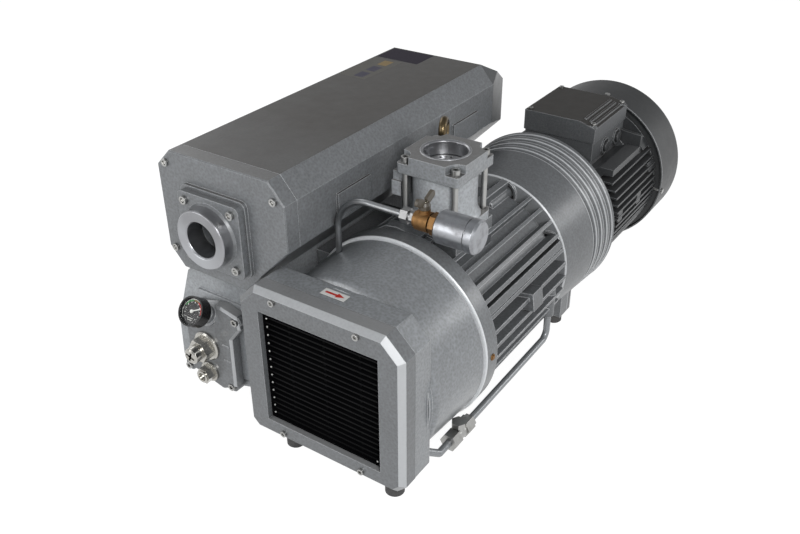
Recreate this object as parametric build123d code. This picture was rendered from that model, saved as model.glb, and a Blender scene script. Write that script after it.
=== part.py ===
from build123d import *
import math
import os

# An oil-lubricated rotary vane vacuum pump with its drive motor, oil cooler and exhaust box.
# Millimetres, +Z up, +Y along the shaft towards the motor, the exhaust box on the -X side.
# The origin is on the floor at the centre of the four rubber feet.

# Driving dimensions: shaft line and feet
SHAFT_Z = 142.0
FOOT_X = 80.0
REAR_FOOT_TOP = 20.5
FOOT_Y = 228.0
FOOT_R = 12.5
FOOT_HOLE_R = 4.2
GAP = 0.3
RUN = 0.05

# Oil cooler: square cowl with chamfered corners in front of a round fan drum
COWL_HALF = 120.0
COWL_Z0 = 42.5
COWL_Z1 = 264.5
COWL_TOP_CUT = 26.0
COWL_LOW_CUT = 13.0
COWL_WALL = 6.0
HOUSING_STEP = 0.4
FRAME_Y0 = -268.5
HOUSING_Y0 = -242.5
HOUSING_Y1 = -211.0
WINDOW_HALF = 87.0
WINDOW_Z0 = 67.5
WINDOW_Z1 = 232.5
DRUM_R0 = 128.0
DRUM_R1 = 132.5
DRUM_Y1 = -104.0

# Pump cylinder between two end plates
RING_R = 136.0
PLATE_Y1 = -78.0
CYL_Y1 = 138.0
CYL_R = 108.0
FIN_R = 128.0
FIN_STEP = 10.0
FIN_THICK = 5.2
PAD_Z = 272.0
BORE_R = 80.0
ROTOR_R = 65.0
BORE_DROP = BORE_R - ROTOR_R - GAP
SHAFT_R = 17.5
BEARING_R = 31.0
BEARING_W = 18.0
REAR_PLATE_R = 96.0
BELL_Y0 = 151.0
BELL_Y1 = 305.0
BELL_R0 = 124.0
BELL_R1 = 135.5
TIE_ANGLES = (80.0, 24.0, -32.0, -90.0, 212.0, 156.0)
TIE_R = 104.0

# Motor
MOTOR_Y0 = 305.0
FRAME_Y1 = 319.0
MOTOR_Y1 = 515.0
SHELL_R = 100.0
MOTOR_FIN_R = 124.0
MOTOR_SHAFT_R = 16.0
COWL_SCREW_ANGLES = (-7.0, 83.0, 173.0, 263.0)
SHIELD_BOLT_ANGLES = (17.0, 36.0, 145.0, 215.0, 325.0)
SHIELD_R = 121.0
COWL_R = 136.0
COWL_Y0 = 514.0
COWL_Y1 = 602.0
BOX_Y0 = 362.0
BOX_Y1 = 490.0
LID_Z0 = 254.5
LID_Z1 = 288.0

# Exhaust box (oil separator) and oil sump under it
SEP_X0 = -274.5
SEP_X1 = -69.5
SEP_Z0 = 218.0
SEP_Z1 = 383.5
SEP_Y0 = -203.5
SEP_Y1 = 263.0
SEP_BACK = 85.0
SEP_DROP = 47.0
SEP_CUT = 23.0
SEP_BIG_CUT = 75.0
COVER_Y0 = -226.5
SEP_WALL = 6.0
PORT_X = -180.0
PORT_Z = 294.0
PORT_BORE_R = 23.6
COLLAR_R = 39.0
SUMP_Z0 = 22.0
SUMP_RISE = 16.0
SUMP_X1 = -167.5
SUMP_Y1 = 215.0
FLOAT_X = -215.0
FLOAT_Z = 60.0

# Inlet valve
INLET_X = 15.0
INLET_Y = -14.0
INLET_Z = 371.0
INLET_BORE_R = 28.3
INLET_HALF = 45.0
INLET_BOLT = 36.5
BARREL_R = 42.0
EYE_X = -32.0
EYE_Y = 58.0
EYE_TURN = 22.0

# Gas ballast line
BALLAST_X = -65.0
BALLAST_Y = -136.0
BALLAST_Z = 338.0
BALLAST_TUBE_R = 4.0
BALLAST_BEND = 46.0
VALVE_X = 62.0
SILENCER_R = 20.0
SILENCER_LONG = 52.0

# Oil block on the front of the sump
BLOCK_Y0 = -224.5
PLUG_X = -233.0
FILL_Z = 97.5
DRAIN_Z = 54.0
GAUGE = (-226.6, -211.8, 142.0)
GAUGE_DIR = (0.0, -0.8, 0.6)
GAUGE_OUT = 31.0

# Oil return pipe
TUBE_R = 5.0
PIPE_X = 116.0
PIPE_Y = 118.0
PIPE_Z = 46.0
TEE_Y = -136.0


def box(x0, x1, y0, y1, z0, z1):
    return Pos((x0 + x1) / 2, (y0 + y1) / 2, (z0 + z1) / 2) * Box(x1 - x0, y1 - y0, z1 - z0)


def rod_y(radius, y0, y1, x=0.0, z=SHAFT_Z):
    return Pos(x, (y0 + y1) / 2, z) * Rot(90, 0, 0) * Cylinder(radius, y1 - y0)


def rod_x(radius, x0, x1, y, z):
    return Pos((x0 + x1) / 2, y, z) * Rot(0, 90, 0) * Cylinder(radius, x1 - x0)


def rod_z(radius, z0, z1, x=0.0, y=0.0):
    return Pos(x, y, (z0 + z1) / 2) * Cylinder(radius, z1 - z0)


def ring_y(outer, inner, y0, y1, x=0.0, z=SHAFT_Z):
    return rod_y(outer, y0, y1, x, z) - rod_y(inner, y0 - 1, y1 + 1, x, z)


def prism_y(points, y0, y1):
    face = Plane.XZ.offset(-y1) * make_face(Polyline(*points, close=True))
    return extrude(face, amount=y1 - y0)


def hexagon(across):
    return RegularPolygon(across / math.sqrt(3), 6)


def hex_y(across, y0, y1, x, z):
    return extrude(Plane((x, y1, z), x_dir=(1, 0, 0), z_dir=(0, -1, 0)) * hexagon(across), amount=y1 - y0)


def hex_x(across, x0, x1, y, z):
    return extrude(Plane((x0, y, z), x_dir=(0, 1, 0), z_dir=(1, 0, 0)) * hexagon(across), amount=x1 - x0)


def turned_y(profile, x=0.0, z=SHAFT_Z):
    # profile holds (radius, y) pairs; the shape is turned about a line along Y
    face = make_face(Polyline(*[(r, y) for r, y in profile], close=True))
    return Pos(x, 0, z) * revolve(face, Axis.Y)


def turned_z(profile, x=0.0, y=0.0):
    face = make_face(Plane.XZ * Polyline(*[(r, z) for r, z in profile], close=True))
    return Pos(x, y, 0) * revolve(face, Axis.Z)


def polar(angle, radius):
    a = math.radians(angle)
    return radius * math.cos(a), SHAFT_Z + radius * math.sin(a)


def spin(angle):
    # turn about the shaft line
    return Pos(0, 0, SHAFT_Z) * Rot(0, -angle, 0) * Pos(0, 0, -SHAFT_Z)


def joined(parts):
    total = parts[0]
    for item in parts[1:]:
        total = total + item
    return total


def socket_screw_y(radius, y_seat, x, z, height=None):
    # head standing out of a face that looks towards -Y, with a hexagon socket
    high = radius if height is None else height
    head = rod_y(radius, y_seat - high, y_seat, x, z)
    return head - hex_y(radius * 1.1, y_seat - high - 0.1, y_seat - high * 0.45, x, z)


def socket_screw_z(radius, z_seat, x, y, height=None):
    high = radius if height is None else height
    head = rod_z(radius, z_seat, z_seat + high, x, y)
    socket = Pos(x, y, z_seat + high * 0.5) * extrude(hexagon(radius * 1.1), amount=high)
    return head - socket


def cowl_outline(inset=0.0, low=0.0):
    h = COWL_HALF - inset
    z0 = COWL_Z0 + inset
    z1 = COWL_Z1 - inset
    k = inset * (2.0 - math.sqrt(2.0))
    a = COWL_TOP_CUT - k
    b = COWL_LOW_CUT - k
    return [(-h, z0 + b), (-h + b, z0), (h - b, z0), (h, z0 + b),
            (h, z1 - a), (h - a, z1), (-h + a, z1), (-h, z1 - a)]


# Oil cooler cowl, core and fan

def make_radiator_frame():
    body = prism_y(cowl_outline(), FRAME_Y0, HOUSING_Y0)
    front = body.faces().sort_by(Axis.Y)[0]
    body = chamfer(front.outer_wire().edges(), 7.0)
    body = body - prism_y(cowl_outline(COWL_WALL), FRAME_Y0 + 8.0, HOUSING_Y0 + 1.0)
    window = box(-WINDOW_HALF, WINDOW_HALF, FRAME_Y0 - 1, HOUSING_Y0, WINDOW_Z0, WINDOW_Z1)
    return body - window


def frame_screw_places():
    return [(-62.0, 253.5), (59.0, 253.5), (-62.0, 55.0), (59.0, 55.0)]


def make_radiator_screws():
    return [socket_screw_y(4.2, FRAME_Y0, x, z, 3.2) for x, z in frame_screw_places()]


def make_radiator_core():
    half = 102.0
    z0 = 56.0
    z1 = 246.0
    y0 = FRAME_Y0 + 8.0
    y1 = HOUSING_Y1 - 8.0
    parts = [box(-half, -half + 14, y0, y1, z0, z1), box(half - 14, half, y0, y1, z0, z1)]
    for i in range(3):
        x = -52.0 + 52.0 * i
        parts.append(box(x - 1.5, x + 1.5, y0 + 6, y1 - 2, z0, z1))
    fins = 24
    pitch = (z1 - z0 - 4.0) / (fins - 1)
    for i in range(fins):
        z = z0 + 2.0 + i * pitch
        parts.append(box(-half + 13, half - 13, y0 + 2, y1 - 1, z - 1.0, z + 1.0))
    return joined(parts)


def make_fan_housing():
    shell = prism_y(cowl_outline(HOUSING_STEP), HOUSING_Y0, HOUSING_Y1)
    shell = shell - prism_y(cowl_outline(COWL_WALL), HOUSING_Y0 - 1, HOUSING_Y1 - COWL_WALL)
    slope = (DRUM_R1 - DRUM_R0) / (DRUM_Y1 - HOUSING_Y1)
    r_front = DRUM_R0 - slope * COWL_WALL
    drum = turned_y([(0, HOUSING_Y1 - COWL_WALL), (r_front - 5, HOUSING_Y1 - COWL_WALL),
                     (r_front - 5, HOUSING_Y1 + 0.2), (r_front - 3.4, HOUSING_Y1 + 0.8),
                     (r_front - 1.4, HOUSING_Y1 + 2.4), (r_front - 0.2, HOUSING_Y1 + 4.6),
                     (r_front + 0.4, HOUSING_Y1 + 7.4), (DRUM_R1, DRUM_Y1 - 4.2), (DRUM_R1 - 0.5, DRUM_Y1 - 2),
                     (DRUM_R1 - 2, DRUM_Y1 - 0.5), (DRUM_R1 - 4, DRUM_Y1), (0, DRUM_Y1)])
    hollow = turned_y([(0, HOUSING_Y1), (r_front - 10, HOUSING_Y1), (DRUM_R1 - 7, DRUM_Y1 + 1),
                       (0, DRUM_Y1 + 1)])
    drum = drum - hollow
    opening = rod_y(104.0, HOUSING_Y1 - COWL_WALL - 1, HOUSING_Y1 + 1)
    pipe_hole = rod_z(BALLAST_TUBE_R + GAP, SHAFT_Z + 90, SHAFT_Z + 130, BALLAST_X, BALLAST_Y)
    return (shell + drum) - opening - pipe_hole


def make_cooling_fan():
    hub = ring_y(26.0, SHAFT_R + RUN, -196.0, -158.0)
    blade = box(22.0, 98.0, -182.5, -179.5, SHAFT_Z - 15, SHAFT_Z + 15)
    blade = Pos(0, -181, SHAFT_Z) * Rot(28, 0, 0) * Pos(0, 181, -SHAFT_Z) * blade
    blades = [spin(60.0 * i) * blade for i in range(6)]
    return joined([hub] + blades) - rod_y(SHAFT_R + RUN, -200, -150)


# Pump

def make_front_end_plate():
    plate = turned_y([(0, DRUM_Y1), (RING_R - 1.5, DRUM_Y1), (RING_R, DRUM_Y1 + 1.5), (RING_R, PLATE_Y1),
                      (0, PLATE_Y1)])
    plate = plate - turned_y([(44, DRUM_Y1 - 1), (112, DRUM_Y1 - 1), (112, DRUM_Y1 + 12), (44, DRUM_Y1 + 12)])
    plate = plate - rod_y(BEARING_R + RUN, DRUM_Y1 + 2, PLATE_Y1 + 1 - 1)
    return plate - rod_y(SHAFT_R + 1.0, DRUM_Y1 - 1, PLATE_Y1 + 1)


def make_rear_end_plate():
    plate = rod_y(REAR_PLATE_R, CYL_Y1, BELL_Y0) + rod_y(44.0, BELL_Y0 - 1, BELL_Y0 + 13)
    plate = plate - rod_y(BEARING_R + RUN, CYL_Y1, CYL_Y1 + BEARING_W + 6)
    return plate - rod_y(SHAFT_R + 1.0, CYL_Y1 - 1, BELL_Y0 + 20)


def make_pump_bearings():
    front = ring_y(BEARING_R, SHAFT_R + RUN, PLATE_Y1 - BEARING_W - 2, PLATE_Y1 - 2)
    rear = ring_y(BEARING_R, SHAFT_R + RUN, CYL_Y1 + 2, CYL_Y1 + 2 + BEARING_W)
    return [front, rear]


def make_shaft_seals():
    front = ring_y(BEARING_R - 1, SHAFT_R + RUN, DRUM_Y1 + 2.2, DRUM_Y1 + 5.8)
    rear = ring_y(BEARING_R - 1, SHAFT_R + RUN, CYL_Y1 + 20.2, CYL_Y1 + 23.8)
    return [front, rear]


def fin_angles():
    angles = []
    steps = int(round(360.0 / FIN_STEP))
    for i in range(steps):
        a = -90.0 + i * FIN_STEP
        on_top = 66.0 < a < 118.0
        on_left = 150.0 < a < 212.0
        if not on_top and not on_left:
            angles.append(a)
    return angles


def make_pump_cylinder():
    core = rod_y(CYL_R, PLATE_Y1, CYL_Y1)
    parts = [core, rod_y(CYL_R + 10, PLATE_Y1, PLATE_Y1 + 8)]
    half = FIN_THICK / 2
    for a in fin_angles():
        fin = box(CYL_R - 6, FIN_R, PLATE_Y1, CYL_Y1 + 4, SHAFT_Z - half, SHAFT_Z + half)
        parts.append(spin(a) * fin)
    for a in TIE_ANGLES:
        x, z = polar(a, TIE_R)
        parts.append(rod_y(12.0, CYL_Y1 - 46.0, BELL_Y0 + 8.0, x, z))
        parts.append(spin(a) * box(CYL_R - 6, FIN_R, PLATE_Y1, CYL_Y1 + 4, SHAFT_Z - 5.0, SHAFT_Z + 5.0))
    # side block standing out of the fins, and the boss under them that takes the returning oil pipe
    parts.append(spin(8.0) * box(96.0, FIN_R + 6, 27.0, 54.0, SHAFT_Z - 13, SHAFT_Z + 13))
    parts.append(rod_z(10.0, SHAFT_Z - 56, SHAFT_Z - 10, PIPE_X - 2, PIPE_Y))
    # pad on top that carries the inlet valve with a gusset beside it, and the post of the lifting eye
    top = CYL_R + SHAFT_Z - 24.0
    parts.append(box(INLET_X - 46, INLET_X + 46, INLET_Y - 46, INLET_Y + 46, top, PAD_Z))
    gusset = [(-76, top), (-76, 250), (-34, PAD_Z + 6), (-18, PAD_Z + 8), (16, PAD_Z + 2), (16, top)]
    parts.append(prism_y(gusset, PLATE_Y1, INLET_Y - 47))
    parts.append(rod_z(12.0, SHAFT_Z + 80, 340.0, EYE_X, EYE_Y))
    # side pad that meets the sump
    parts.append(box(SUMP_X1, -82.0, -60.0, 110.0, SHAFT_Z - 44, SHAFT_Z + 50))
    body = joined(parts)
    body = body - rod_y(BORE_R, PLATE_Y1 - 1, CYL_Y1 + 10, 0, SHAFT_Z - BORE_DROP)
    body = body - rod_y(REAR_PLATE_R + GAP, CYL_Y1, BELL_Y0 + 20)
    body = body - rod_z(24.0, SHAFT_Z, PAD_Z + 1, INLET_X, INLET_Y)
    body = body - rod_z(TUBE_R + GAP, SHAFT_Z - 80, SHAFT_Z - 56, PIPE_X, PIPE_Y)
    body = body - rod_z(TUBE_R + RUN, SHAFT_Z - 57, SHAFT_Z - 46, PIPE_X, PIPE_Y)
    body = body - rod_x(20.0, SUMP_X1 - 5, -60.0, 40.0, SHAFT_Z)
    return body - rod_z(4.1, 330.0, 350.0, EYE_X, EYE_Y)


def make_pump_rotor():
    core = rod_y(ROTOR_R, PLATE_Y1 + 0.3, CYL_Y1 - 0.3)
    slot = box(-3.1, 3.1, PLATE_Y1 - 1, CYL_Y1 + 1, SHAFT_Z + 26, SHAFT_Z + ROTOR_R + 2)
    for i in range(3):
        core = core - spin(120.0 * i) * slot
    shaft = rod_y(SHAFT_R, -203.0, 203.0)
    return core + shaft


def make_vanes():
    vane = box(-3.0, 3.0, PLATE_Y1 + 0.6, CYL_Y1 - 0.6, SHAFT_Z + 26.2, SHAFT_Z + ROTOR_R - 0.4)
    return [spin(120.0 * i) * vane for i in range(3)]


def coupling_claws(y0, y1, turn):
    claws = []
    for i in range(3):
        claw = box(22.0, 42.0, y0, y1, SHAFT_Z - 11, SHAFT_Z + 11)
        claws.append(spin(turn + 120.0 * i) * claw)
    return claws


def make_pump_coupling():
    hub = rod_y(46.0, 178.0, 206.0)
    body = joined([hub] + coupling_claws(205.0, 221.5, 0.0))
    return body - rod_y(SHAFT_R + RUN, 170, 230)


def make_motor_coupling():
    hub = rod_y(46.0, 222.0, 250.0)
    body = joined([hub] + coupling_claws(206.5, 223.0, 60.0))
    return body - rod_y(MOTOR_SHAFT_R + RUN, 200, 260)


def make_coupling_spider():
    body = ring_y(44.0, 19.0, 206.3, 221.7)
    for turn in (0.0, 60.0):
        for i in range(3):
            pocket = box(20.0, 50.0, 200, 230, SHAFT_Z - 11.3, SHAFT_Z + 11.3)
            body = body - spin(turn + 120.0 * i) * pocket
    return body


def make_bell_housing():
    slope = (BELL_R1 - BELL_R0) / (BELL_Y1 - BELL_Y0)
    profile = [(0, BELL_Y0), (BELL_R0 - 2, BELL_Y0), (BELL_R0, BELL_Y0 + 2)]
    for i in range(4):
        y = BELL_Y0 + 84.0 + 17.0 * i
        r = BELL_R0 + slope * (y - BELL_Y0)
        profile += [(r, y), (r - 4.5, y + 2.0), (r - 4.5, y + 6.5), (r + 0.6, y + 9.5)]
    profile += [(BELL_R1, BELL_Y1 - 3), (BELL_R1 - 3, BELL_Y1), (0, BELL_Y1)]
    body = turned_y(profile)
    inner = turned_y([(0, BELL_Y0 + 12), (BELL_R0 - 9, BELL_Y0 + 12), (BELL_R1 - 10, BELL_Y1 - 12),
                      (112, BELL_Y1 - 12), (112, BELL_Y1 + 1), (0, BELL_Y1 + 1)])
    for s in (-1, 1):
        body = body + box(s * FOOT_X - 18, s * FOOT_X + 18, FOOT_Y - 18, FOOT_Y + 18, REAR_FOOT_TOP, 60)
    for a in TIE_ANGLES:
        x, z = polar(a, TIE_R)
        body = body + rod_y(18.5, BELL_Y0 - 3.0, BELL_Y0 + 5.0, x, z)
    body = body - inner
    body = body - rod_y(REAR_PLATE_R + GAP, BELL_Y0 - 4, BELL_Y0)
    body = body - rod_y(82.0, BELL_Y0 - 1, BELL_Y0 + 14)
    for a in TIE_ANGLES:
        x, z = polar(a, TIE_R)
        body = body - rod_y(15.0, BELL_Y0 - 4, BELL_Y0 + 14, x, z)
        x, z = polar(a, TIE_R - 18)
        body = body - Pos(x, BELL_Y0 + 4, z) * Rot(0, -a, 0) * Box(36, 18, 26)
    return body


# Motor

def make_motor_flange():
    plate = turned_y([(0, MOTOR_Y0), (118, MOTOR_Y0), (118, FRAME_Y1 - 4), (106, FRAME_Y1), (0, FRAME_Y1)])
    plate = plate + rod_y(111.0, MOTOR_Y0 - 6, MOTOR_Y0 + 1)
    plate = plate - rod_y(36.0 + RUN, MOTOR_Y0 - 2, FRAME_Y1 + 1)
    return plate - rod_y(MOTOR_SHAFT_R + 1, MOTOR_Y0 - 10, FRAME_Y1 + 1)


def make_motor_frame():
    y0 = FRAME_Y1 + 26
    y1 = MOTOR_Y1 - 1
    parts = [rod_y(SHELL_R, FRAME_Y1, MOTOR_Y1), rod_y(SHELL_R + 9, FRAME_Y1, FRAME_Y1 + 6)]
    for level in range(-7, 6):
        z = 12.0 * level
        half = math.sqrt(MOTOR_FIN_R ** 2 - z ** 2)
        parts.append(box(-half, half, y0, y1, SHAFT_Z + z - 1.6, SHAFT_Z + z + 1.6))
        foot = half - 14.0
        parts.append(box(-foot, foot, FRAME_Y1 + 6, y0 + 1, SHAFT_Z + z - 2.6, SHAFT_Z + z + 0.6))
    for i in range(-3, 4):
        x = 14.0 * i
        drop = math.sqrt(MOTOR_FIN_R ** 2 - x ** 2)
        parts.append(box(x - 1.6, x + 1.6, y0, y1, SHAFT_Z - drop, SHAFT_Z - 60))
    for y in (360.0, 440.0):
        parts.append(box(90, MOTOR_FIN_R - 1, y - 8, y + 8, SHAFT_Z - 8, SHAFT_Z + 10))
        parts.append(box(-MOTOR_FIN_R + 1, -90, y - 8, y + 8, SHAFT_Z - 8, SHAFT_Z + 10))
    # lugs for the bolts of the rear shield
    for a in SHIELD_BOLT_ANGLES:
        parts.append(spin(a) * box(90.0, MOTOR_FIN_R - 2, MOTOR_Y1 - 26, MOTOR_Y1, SHAFT_Z - 8, SHAFT_Z + 8))
    # shelf and arched bracket on the shoulder beside the terminal box
    shelf = [(62, 218.5), (70, 219.5), (77, 222), (84, 226), (107.5, 225.8), (107, 215), (91, 213.8), (76, 198),
             (62, 206)]
    parts.append(prism_y(shelf, y0, 455.0))
    bracket = [(62, 240), (68, 238), (100, 235), (99.5, 190), (84, 186), (62, 206)]
    arch = rod_y(11.0, 470.0, 500.0, 78.0, 203.0) + box(67, 89, 470, 500, 186, 203)
    parts.append(prism_y(bracket, 480.0, 487.0) - arch)
    body = joined(parts)
    return body - rod_y(94.0, FRAME_Y1 - 1, MOTOR_Y1 + 1)


def make_motor_stator():
    return ring_y(93.7, 62.0, 345.0, 489.0)


def make_motor_rotor():
    core = rod_y(61.4, 347.0, 487.0)
    return core + rod_y(MOTOR_SHAFT_R, 212.0, 560.0)


def make_motor_bearings():
    front = ring_y(36.0, MOTOR_SHAFT_R + RUN, FRAME_Y1 - 14, FRAME_Y1 - 1)
    rear = ring_y(36.0, MOTOR_SHAFT_R + RUN, MOTOR_Y1 + 1, MOTOR_Y1 + 13)
    return [front, rear]


def make_motor_shield():
    plate = rod_y(104.0, MOTOR_Y1, MOTOR_Y1 + 14) + rod_y(SHIELD_R, MOTOR_Y1, MOTOR_Y1 + 13)
    plate = plate - rod_y(36.0 + RUN, MOTOR_Y1 - 1, MOTOR_Y1 + 13)
    return plate - rod_y(MOTOR_SHAFT_R + 1, MOTOR_Y1 - 1, MOTOR_Y1 + 20)


def make_motor_fan():
    hub = rod_y(30.0, 536.0, 562.0)
    disc = rod_y(104.0, 536.0, 539.0)
    blades = []
    for i in range(7):
        blades.append(spin(360.0 / 7 * i) * box(28.0, 102.0, 538.0, 562.0, SHAFT_Z - 1.5, SHAFT_Z + 1.5))
    return joined([hub, disc] + blades) - rod_y(MOTOR_SHAFT_R + RUN, 530, 570)


def make_motor_cowl():
    wall = 2.5
    r = COWL_R
    outer = turned_y([(0, COWL_Y0), (r, COWL_Y0), (r, COWL_Y1 - 8), (r - 1, COWL_Y1 - 4),
                      (r - 3.5, COWL_Y1 - 1.2), (r - 8, COWL_Y1), (0, COWL_Y1)])
    inner = turned_y([(0, COWL_Y0 - 1), (r - wall, COWL_Y0 - 1), (r - wall, COWL_Y1 - 8),
                      (r - 8, COWL_Y1 - wall), (0, COWL_Y1 - wall)])
    body = outer - inner
    for ring in range(3):
        r0 = 34.0 + 26.0 * ring
        for i in range(6):
            cut = turned_y([(r0, COWL_Y1 - 5), (r0 + 14, COWL_Y1 - 5), (r0 + 14, COWL_Y1 + 1),
                            (r0, COWL_Y1 + 1)])
            a = 60.0 * i
            wedge = spin(a + 26) * box(0, 130, COWL_Y1 - 6, COWL_Y1 + 2, SHAFT_Z - 200, SHAFT_Z)
            wedge = wedge & (spin(a - 26) * box(0, 130, COWL_Y1 - 6, COWL_Y1 + 2, SHAFT_Z, SHAFT_Z + 200))
            body = body - (cut & wedge)
    for a in COWL_SCREW_ANGLES:
        body = body - spin(a) * rod_x(2.7, r - 10, r + 5, COWL_Y0 + 8, SHAFT_Z)
    return body


def make_cowl_screws():
    screws = []
    for a in COWL_SCREW_ANGLES:
        head = rod_x(4.5, COWL_R + 0.1, COWL_R + 3.0, COWL_Y0 + 8, SHAFT_Z)
        shank = rod_x(2.4, SHIELD_R + 0.2, COWL_R + 1.0, COWL_Y0 + 8, SHAFT_Z)
        screws.append(spin(a) * (head + shank))
    return screws


def make_terminal_box():
    body = box(-58, 62, BOX_Y0, BOX_Y1, SHAFT_Z + 74, LID_Z0)
    body = body - box(-50, 54, BOX_Y0 + 8, BOX_Y1 - 8, SHAFT_Z + SHELL_R + 4, LID_Z0 + 1)
    for y in (BOX_Y0 + 50, BOX_Y0 + 98):
        body = body + rod_x(14.0, 60, 65, y, SHAFT_Z + 92)
        body = body - rod_x(11.0, 63, 67, y, SHAFT_Z + 92)
        body = body - rod_x(9.0, 59, 67, y, SHAFT_Z + 92)
    return body - rod_y(SHELL_R + 0.1, BOX_Y0 - 1, BOX_Y1 + 1)


def make_cable_plugs():
    return [rod_x(8.9, 59.0, 68.5, y, SHAFT_Z + 92) for y in (BOX_Y0 + 50, BOX_Y0 + 98)]


def make_terminal_lid():
    outer = [(-60, LID_Z0), (64, LID_Z0), (64, LID_Z1 - 8.5), (37, LID_Z1), (-60, LID_Z1)]
    inner = [(-56, LID_Z0 - 1), (60, LID_Z0 - 1), (60, LID_Z1 - 12), (36, LID_Z1 - 4), (-56, LID_Z1 - 4)]
    body = prism_y(outer, BOX_Y0 - 2, BOX_Y1 + 2) - prism_y(inner, BOX_Y0 + 2, BOX_Y1 - 2)
    for i in range(3):
        x = 40.0 + 8.5 * i
        z = LID_Z1 - (x - 37.0) * 8.5 / 27.0
        rib = [(x - 2, z - 2), (x + 2, z - 3), (x + 1.6, z + 1.2), (x - 1.6, z + 2.2)]
        body = body + prism_y(rib, BOX_Y0 + 13, BOX_Y1 - 13)
    for x, y, z in lid_screw_places():
        if z < LID_Z1:
            body = body + rod_z(6.0, LID_Z0 + 2, z, x, y)
    return body


def lid_screw_places():
    places = []
    for y in (BOX_Y0 + 5.0, BOX_Y1 - 5.0):
        places.append((-53.0, y, LID_Z1))
        places.append((57.0, y, LID_Z1 - 4.5))
    return places


def make_lid_screws():
    return [socket_screw_z(4.0, z, x, y, 3.0) for x, y, z in lid_screw_places()]


# Inlet valve

def corner_places(half):
    return [(INLET_X - half, INLET_Y - half), (INLET_X + half, INLET_Y - half),
            (INLET_X - half, INLET_Y + half), (INLET_X + half, INLET_Y + half)]


def make_inlet_valve_body():
    z0 = PAD_Z
    z1 = INLET_Z - 25
    base = Pos(INLET_X, INLET_Y, z0 + 6) * extrude(RectangleRounded(92, 92, 14), amount=6, both=True)
    r = BARREL_R
    barrel = turned_z([(0, z0 + 11), (r + 5, z0 + 11), (r + 5, z0 + 14), (r + 2.4, z0 + 18), (r + 0.7, z0 + 23),
                       (r, z0 + 30), (r, z1), (0, z1)], INLET_X, INLET_Y)
    body = base + barrel
    # two small bosses on the left wall, one behind the other
    body = body + box(INLET_X - 59, INLET_X - 38, INLET_Y - 31, INLET_Y - 10, z1 - 38, z1 - 6)
    body = body + box(INLET_X - 59, INLET_X - 45, INLET_Y - 35, INLET_Y - 30, z1 - 38, z1 - 18)
    seat = INLET_Z - 69
    body = body - rod_z(32.0, seat, z1 + 1, INLET_X, INLET_Y)
    body = body - rod_z(24.0, z0 - 1, seat + 1, INLET_X, INLET_Y)
    arms = Pos(INLET_X, INLET_Y, seat - 5) * (Box(62, 6, 10) + Box(6, 62, 10))
    body = body + arms + rod_z(11.0, seat - 10, seat + 6, INLET_X, INLET_Y)
    body = body - rod_z(6.0 + RUN, seat - 12, seat + 20, INLET_X, INLET_Y)
    for x, y in corner_places(INLET_BOLT):
        body = body - rod_z(4.3, z0 - 1, z0 + 30, x, y)
    return body


def make_inlet_flange():
    z0 = INLET_Z - 25
    side = 2 * INLET_HALF
    plate = Pos(INLET_X, INLET_Y, z0) * extrude(RectangleRounded(side, side, 4), amount=24)
    pockets = []
    for x, y in corner_places(INLET_HALF):
        pockets.append(rod_z(18.5, INLET_Z - 12, INLET_Z + 1, x, y))
    for pocket in pockets:
        plate = plate - pocket
    plate = plate + rod_z(32.5, INLET_Z - 2, INLET_Z, INLET_X, INLET_Y)
    r = INLET_BORE_R
    cut = turned_z([(0, z0 - 1), (26, z0 - 1), (26, z0 + 4), (r + 1.3, z0 + 4), (r + 1.3, z0 + 6.4), (r, z0 + 6.4),
                    (r, INLET_Z - 1.5), (r + 1.5, INLET_Z), (r + 1.5, INLET_Z + 1), (0, INLET_Z + 1)],
                   INLET_X, INLET_Y)
    plate = plate - cut
    for x, y in corner_places(INLET_BOLT):
        plate = plate - rod_z(4.3, z0 - 1, INLET_Z, x, y)
    return plate


def make_inlet_bolts():
    bolts = []
    for x, y in corner_places(INLET_BOLT):
        head = socket_screw_z(5.6, INLET_Z - 12, x, y, 7.5)
        bolts.append(head + rod_z(4.0, PAD_Z + 0.5, INLET_Z - 11, x, y))
    return bolts


def make_inlet_screen():
    z = INLET_Z - 21
    disc = rod_z(INLET_BORE_R + 1.0, z, z + 1.6, INLET_X, INLET_Y)
    for ring, count in ((7.0, 6), (14.0, 12), (20.5, 18)):
        for i in range(count):
            a = 2 * math.pi * i / count
            x = INLET_X + ring * math.cos(a)
            y = INLET_Y + ring * math.sin(a)
            disc = disc - Pos(x, y, z) * extrude(Rectangle(3.6, 3.6), amount=4, both=True)
    return disc


def make_valve_plate():
    top = INLET_Z - 25.2
    plate = rod_z(30.0, top - 4, top, INLET_X, INLET_Y)
    return plate + rod_z(6.0, INLET_Z - 76, top - 3, INLET_X, INLET_Y)


def make_valve_spring():
    z0 = INLET_Z - 60.8
    z1 = INLET_Z - 29.5
    wire = 1.2
    pitch = (z1 - z0 - 2 * wire) / 3.0
    path = Pos(INLET_X, INLET_Y, z0 + wire) * Helix(pitch=pitch, height=3 * pitch, radius=9.0)
    start = Plane(origin=path @ 0, z_dir=path % 0)
    return sweep(start * RegularPolygon(wire, 6), path=path, is_frenet=True)


def make_lifting_eye():
    ring = Pos(EYE_X, EYE_Y, 362.0) * Rot(0, 0, EYE_TURN) * Rot(0, 90, 0) * Torus(13.0, 5.5)
    foot = turned_z([(0, 340), (10.5, 340), (10.5, 343.0), (6.5, 346.5), (6.0, 352), (0, 352)], EYE_X, EYE_Y)
    return ring + foot + rod_z(4.0, 331.0, 341.0, EYE_X, EYE_Y)


# Gas ballast line

def bent_tube(points, radius, bend):
    wire = FilletPolyline(*points, radius=bend)
    start = Plane(origin=wire @ 0, z_dir=wire % 0)
    return sweep(start * Circle(radius), path=wire)


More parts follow.
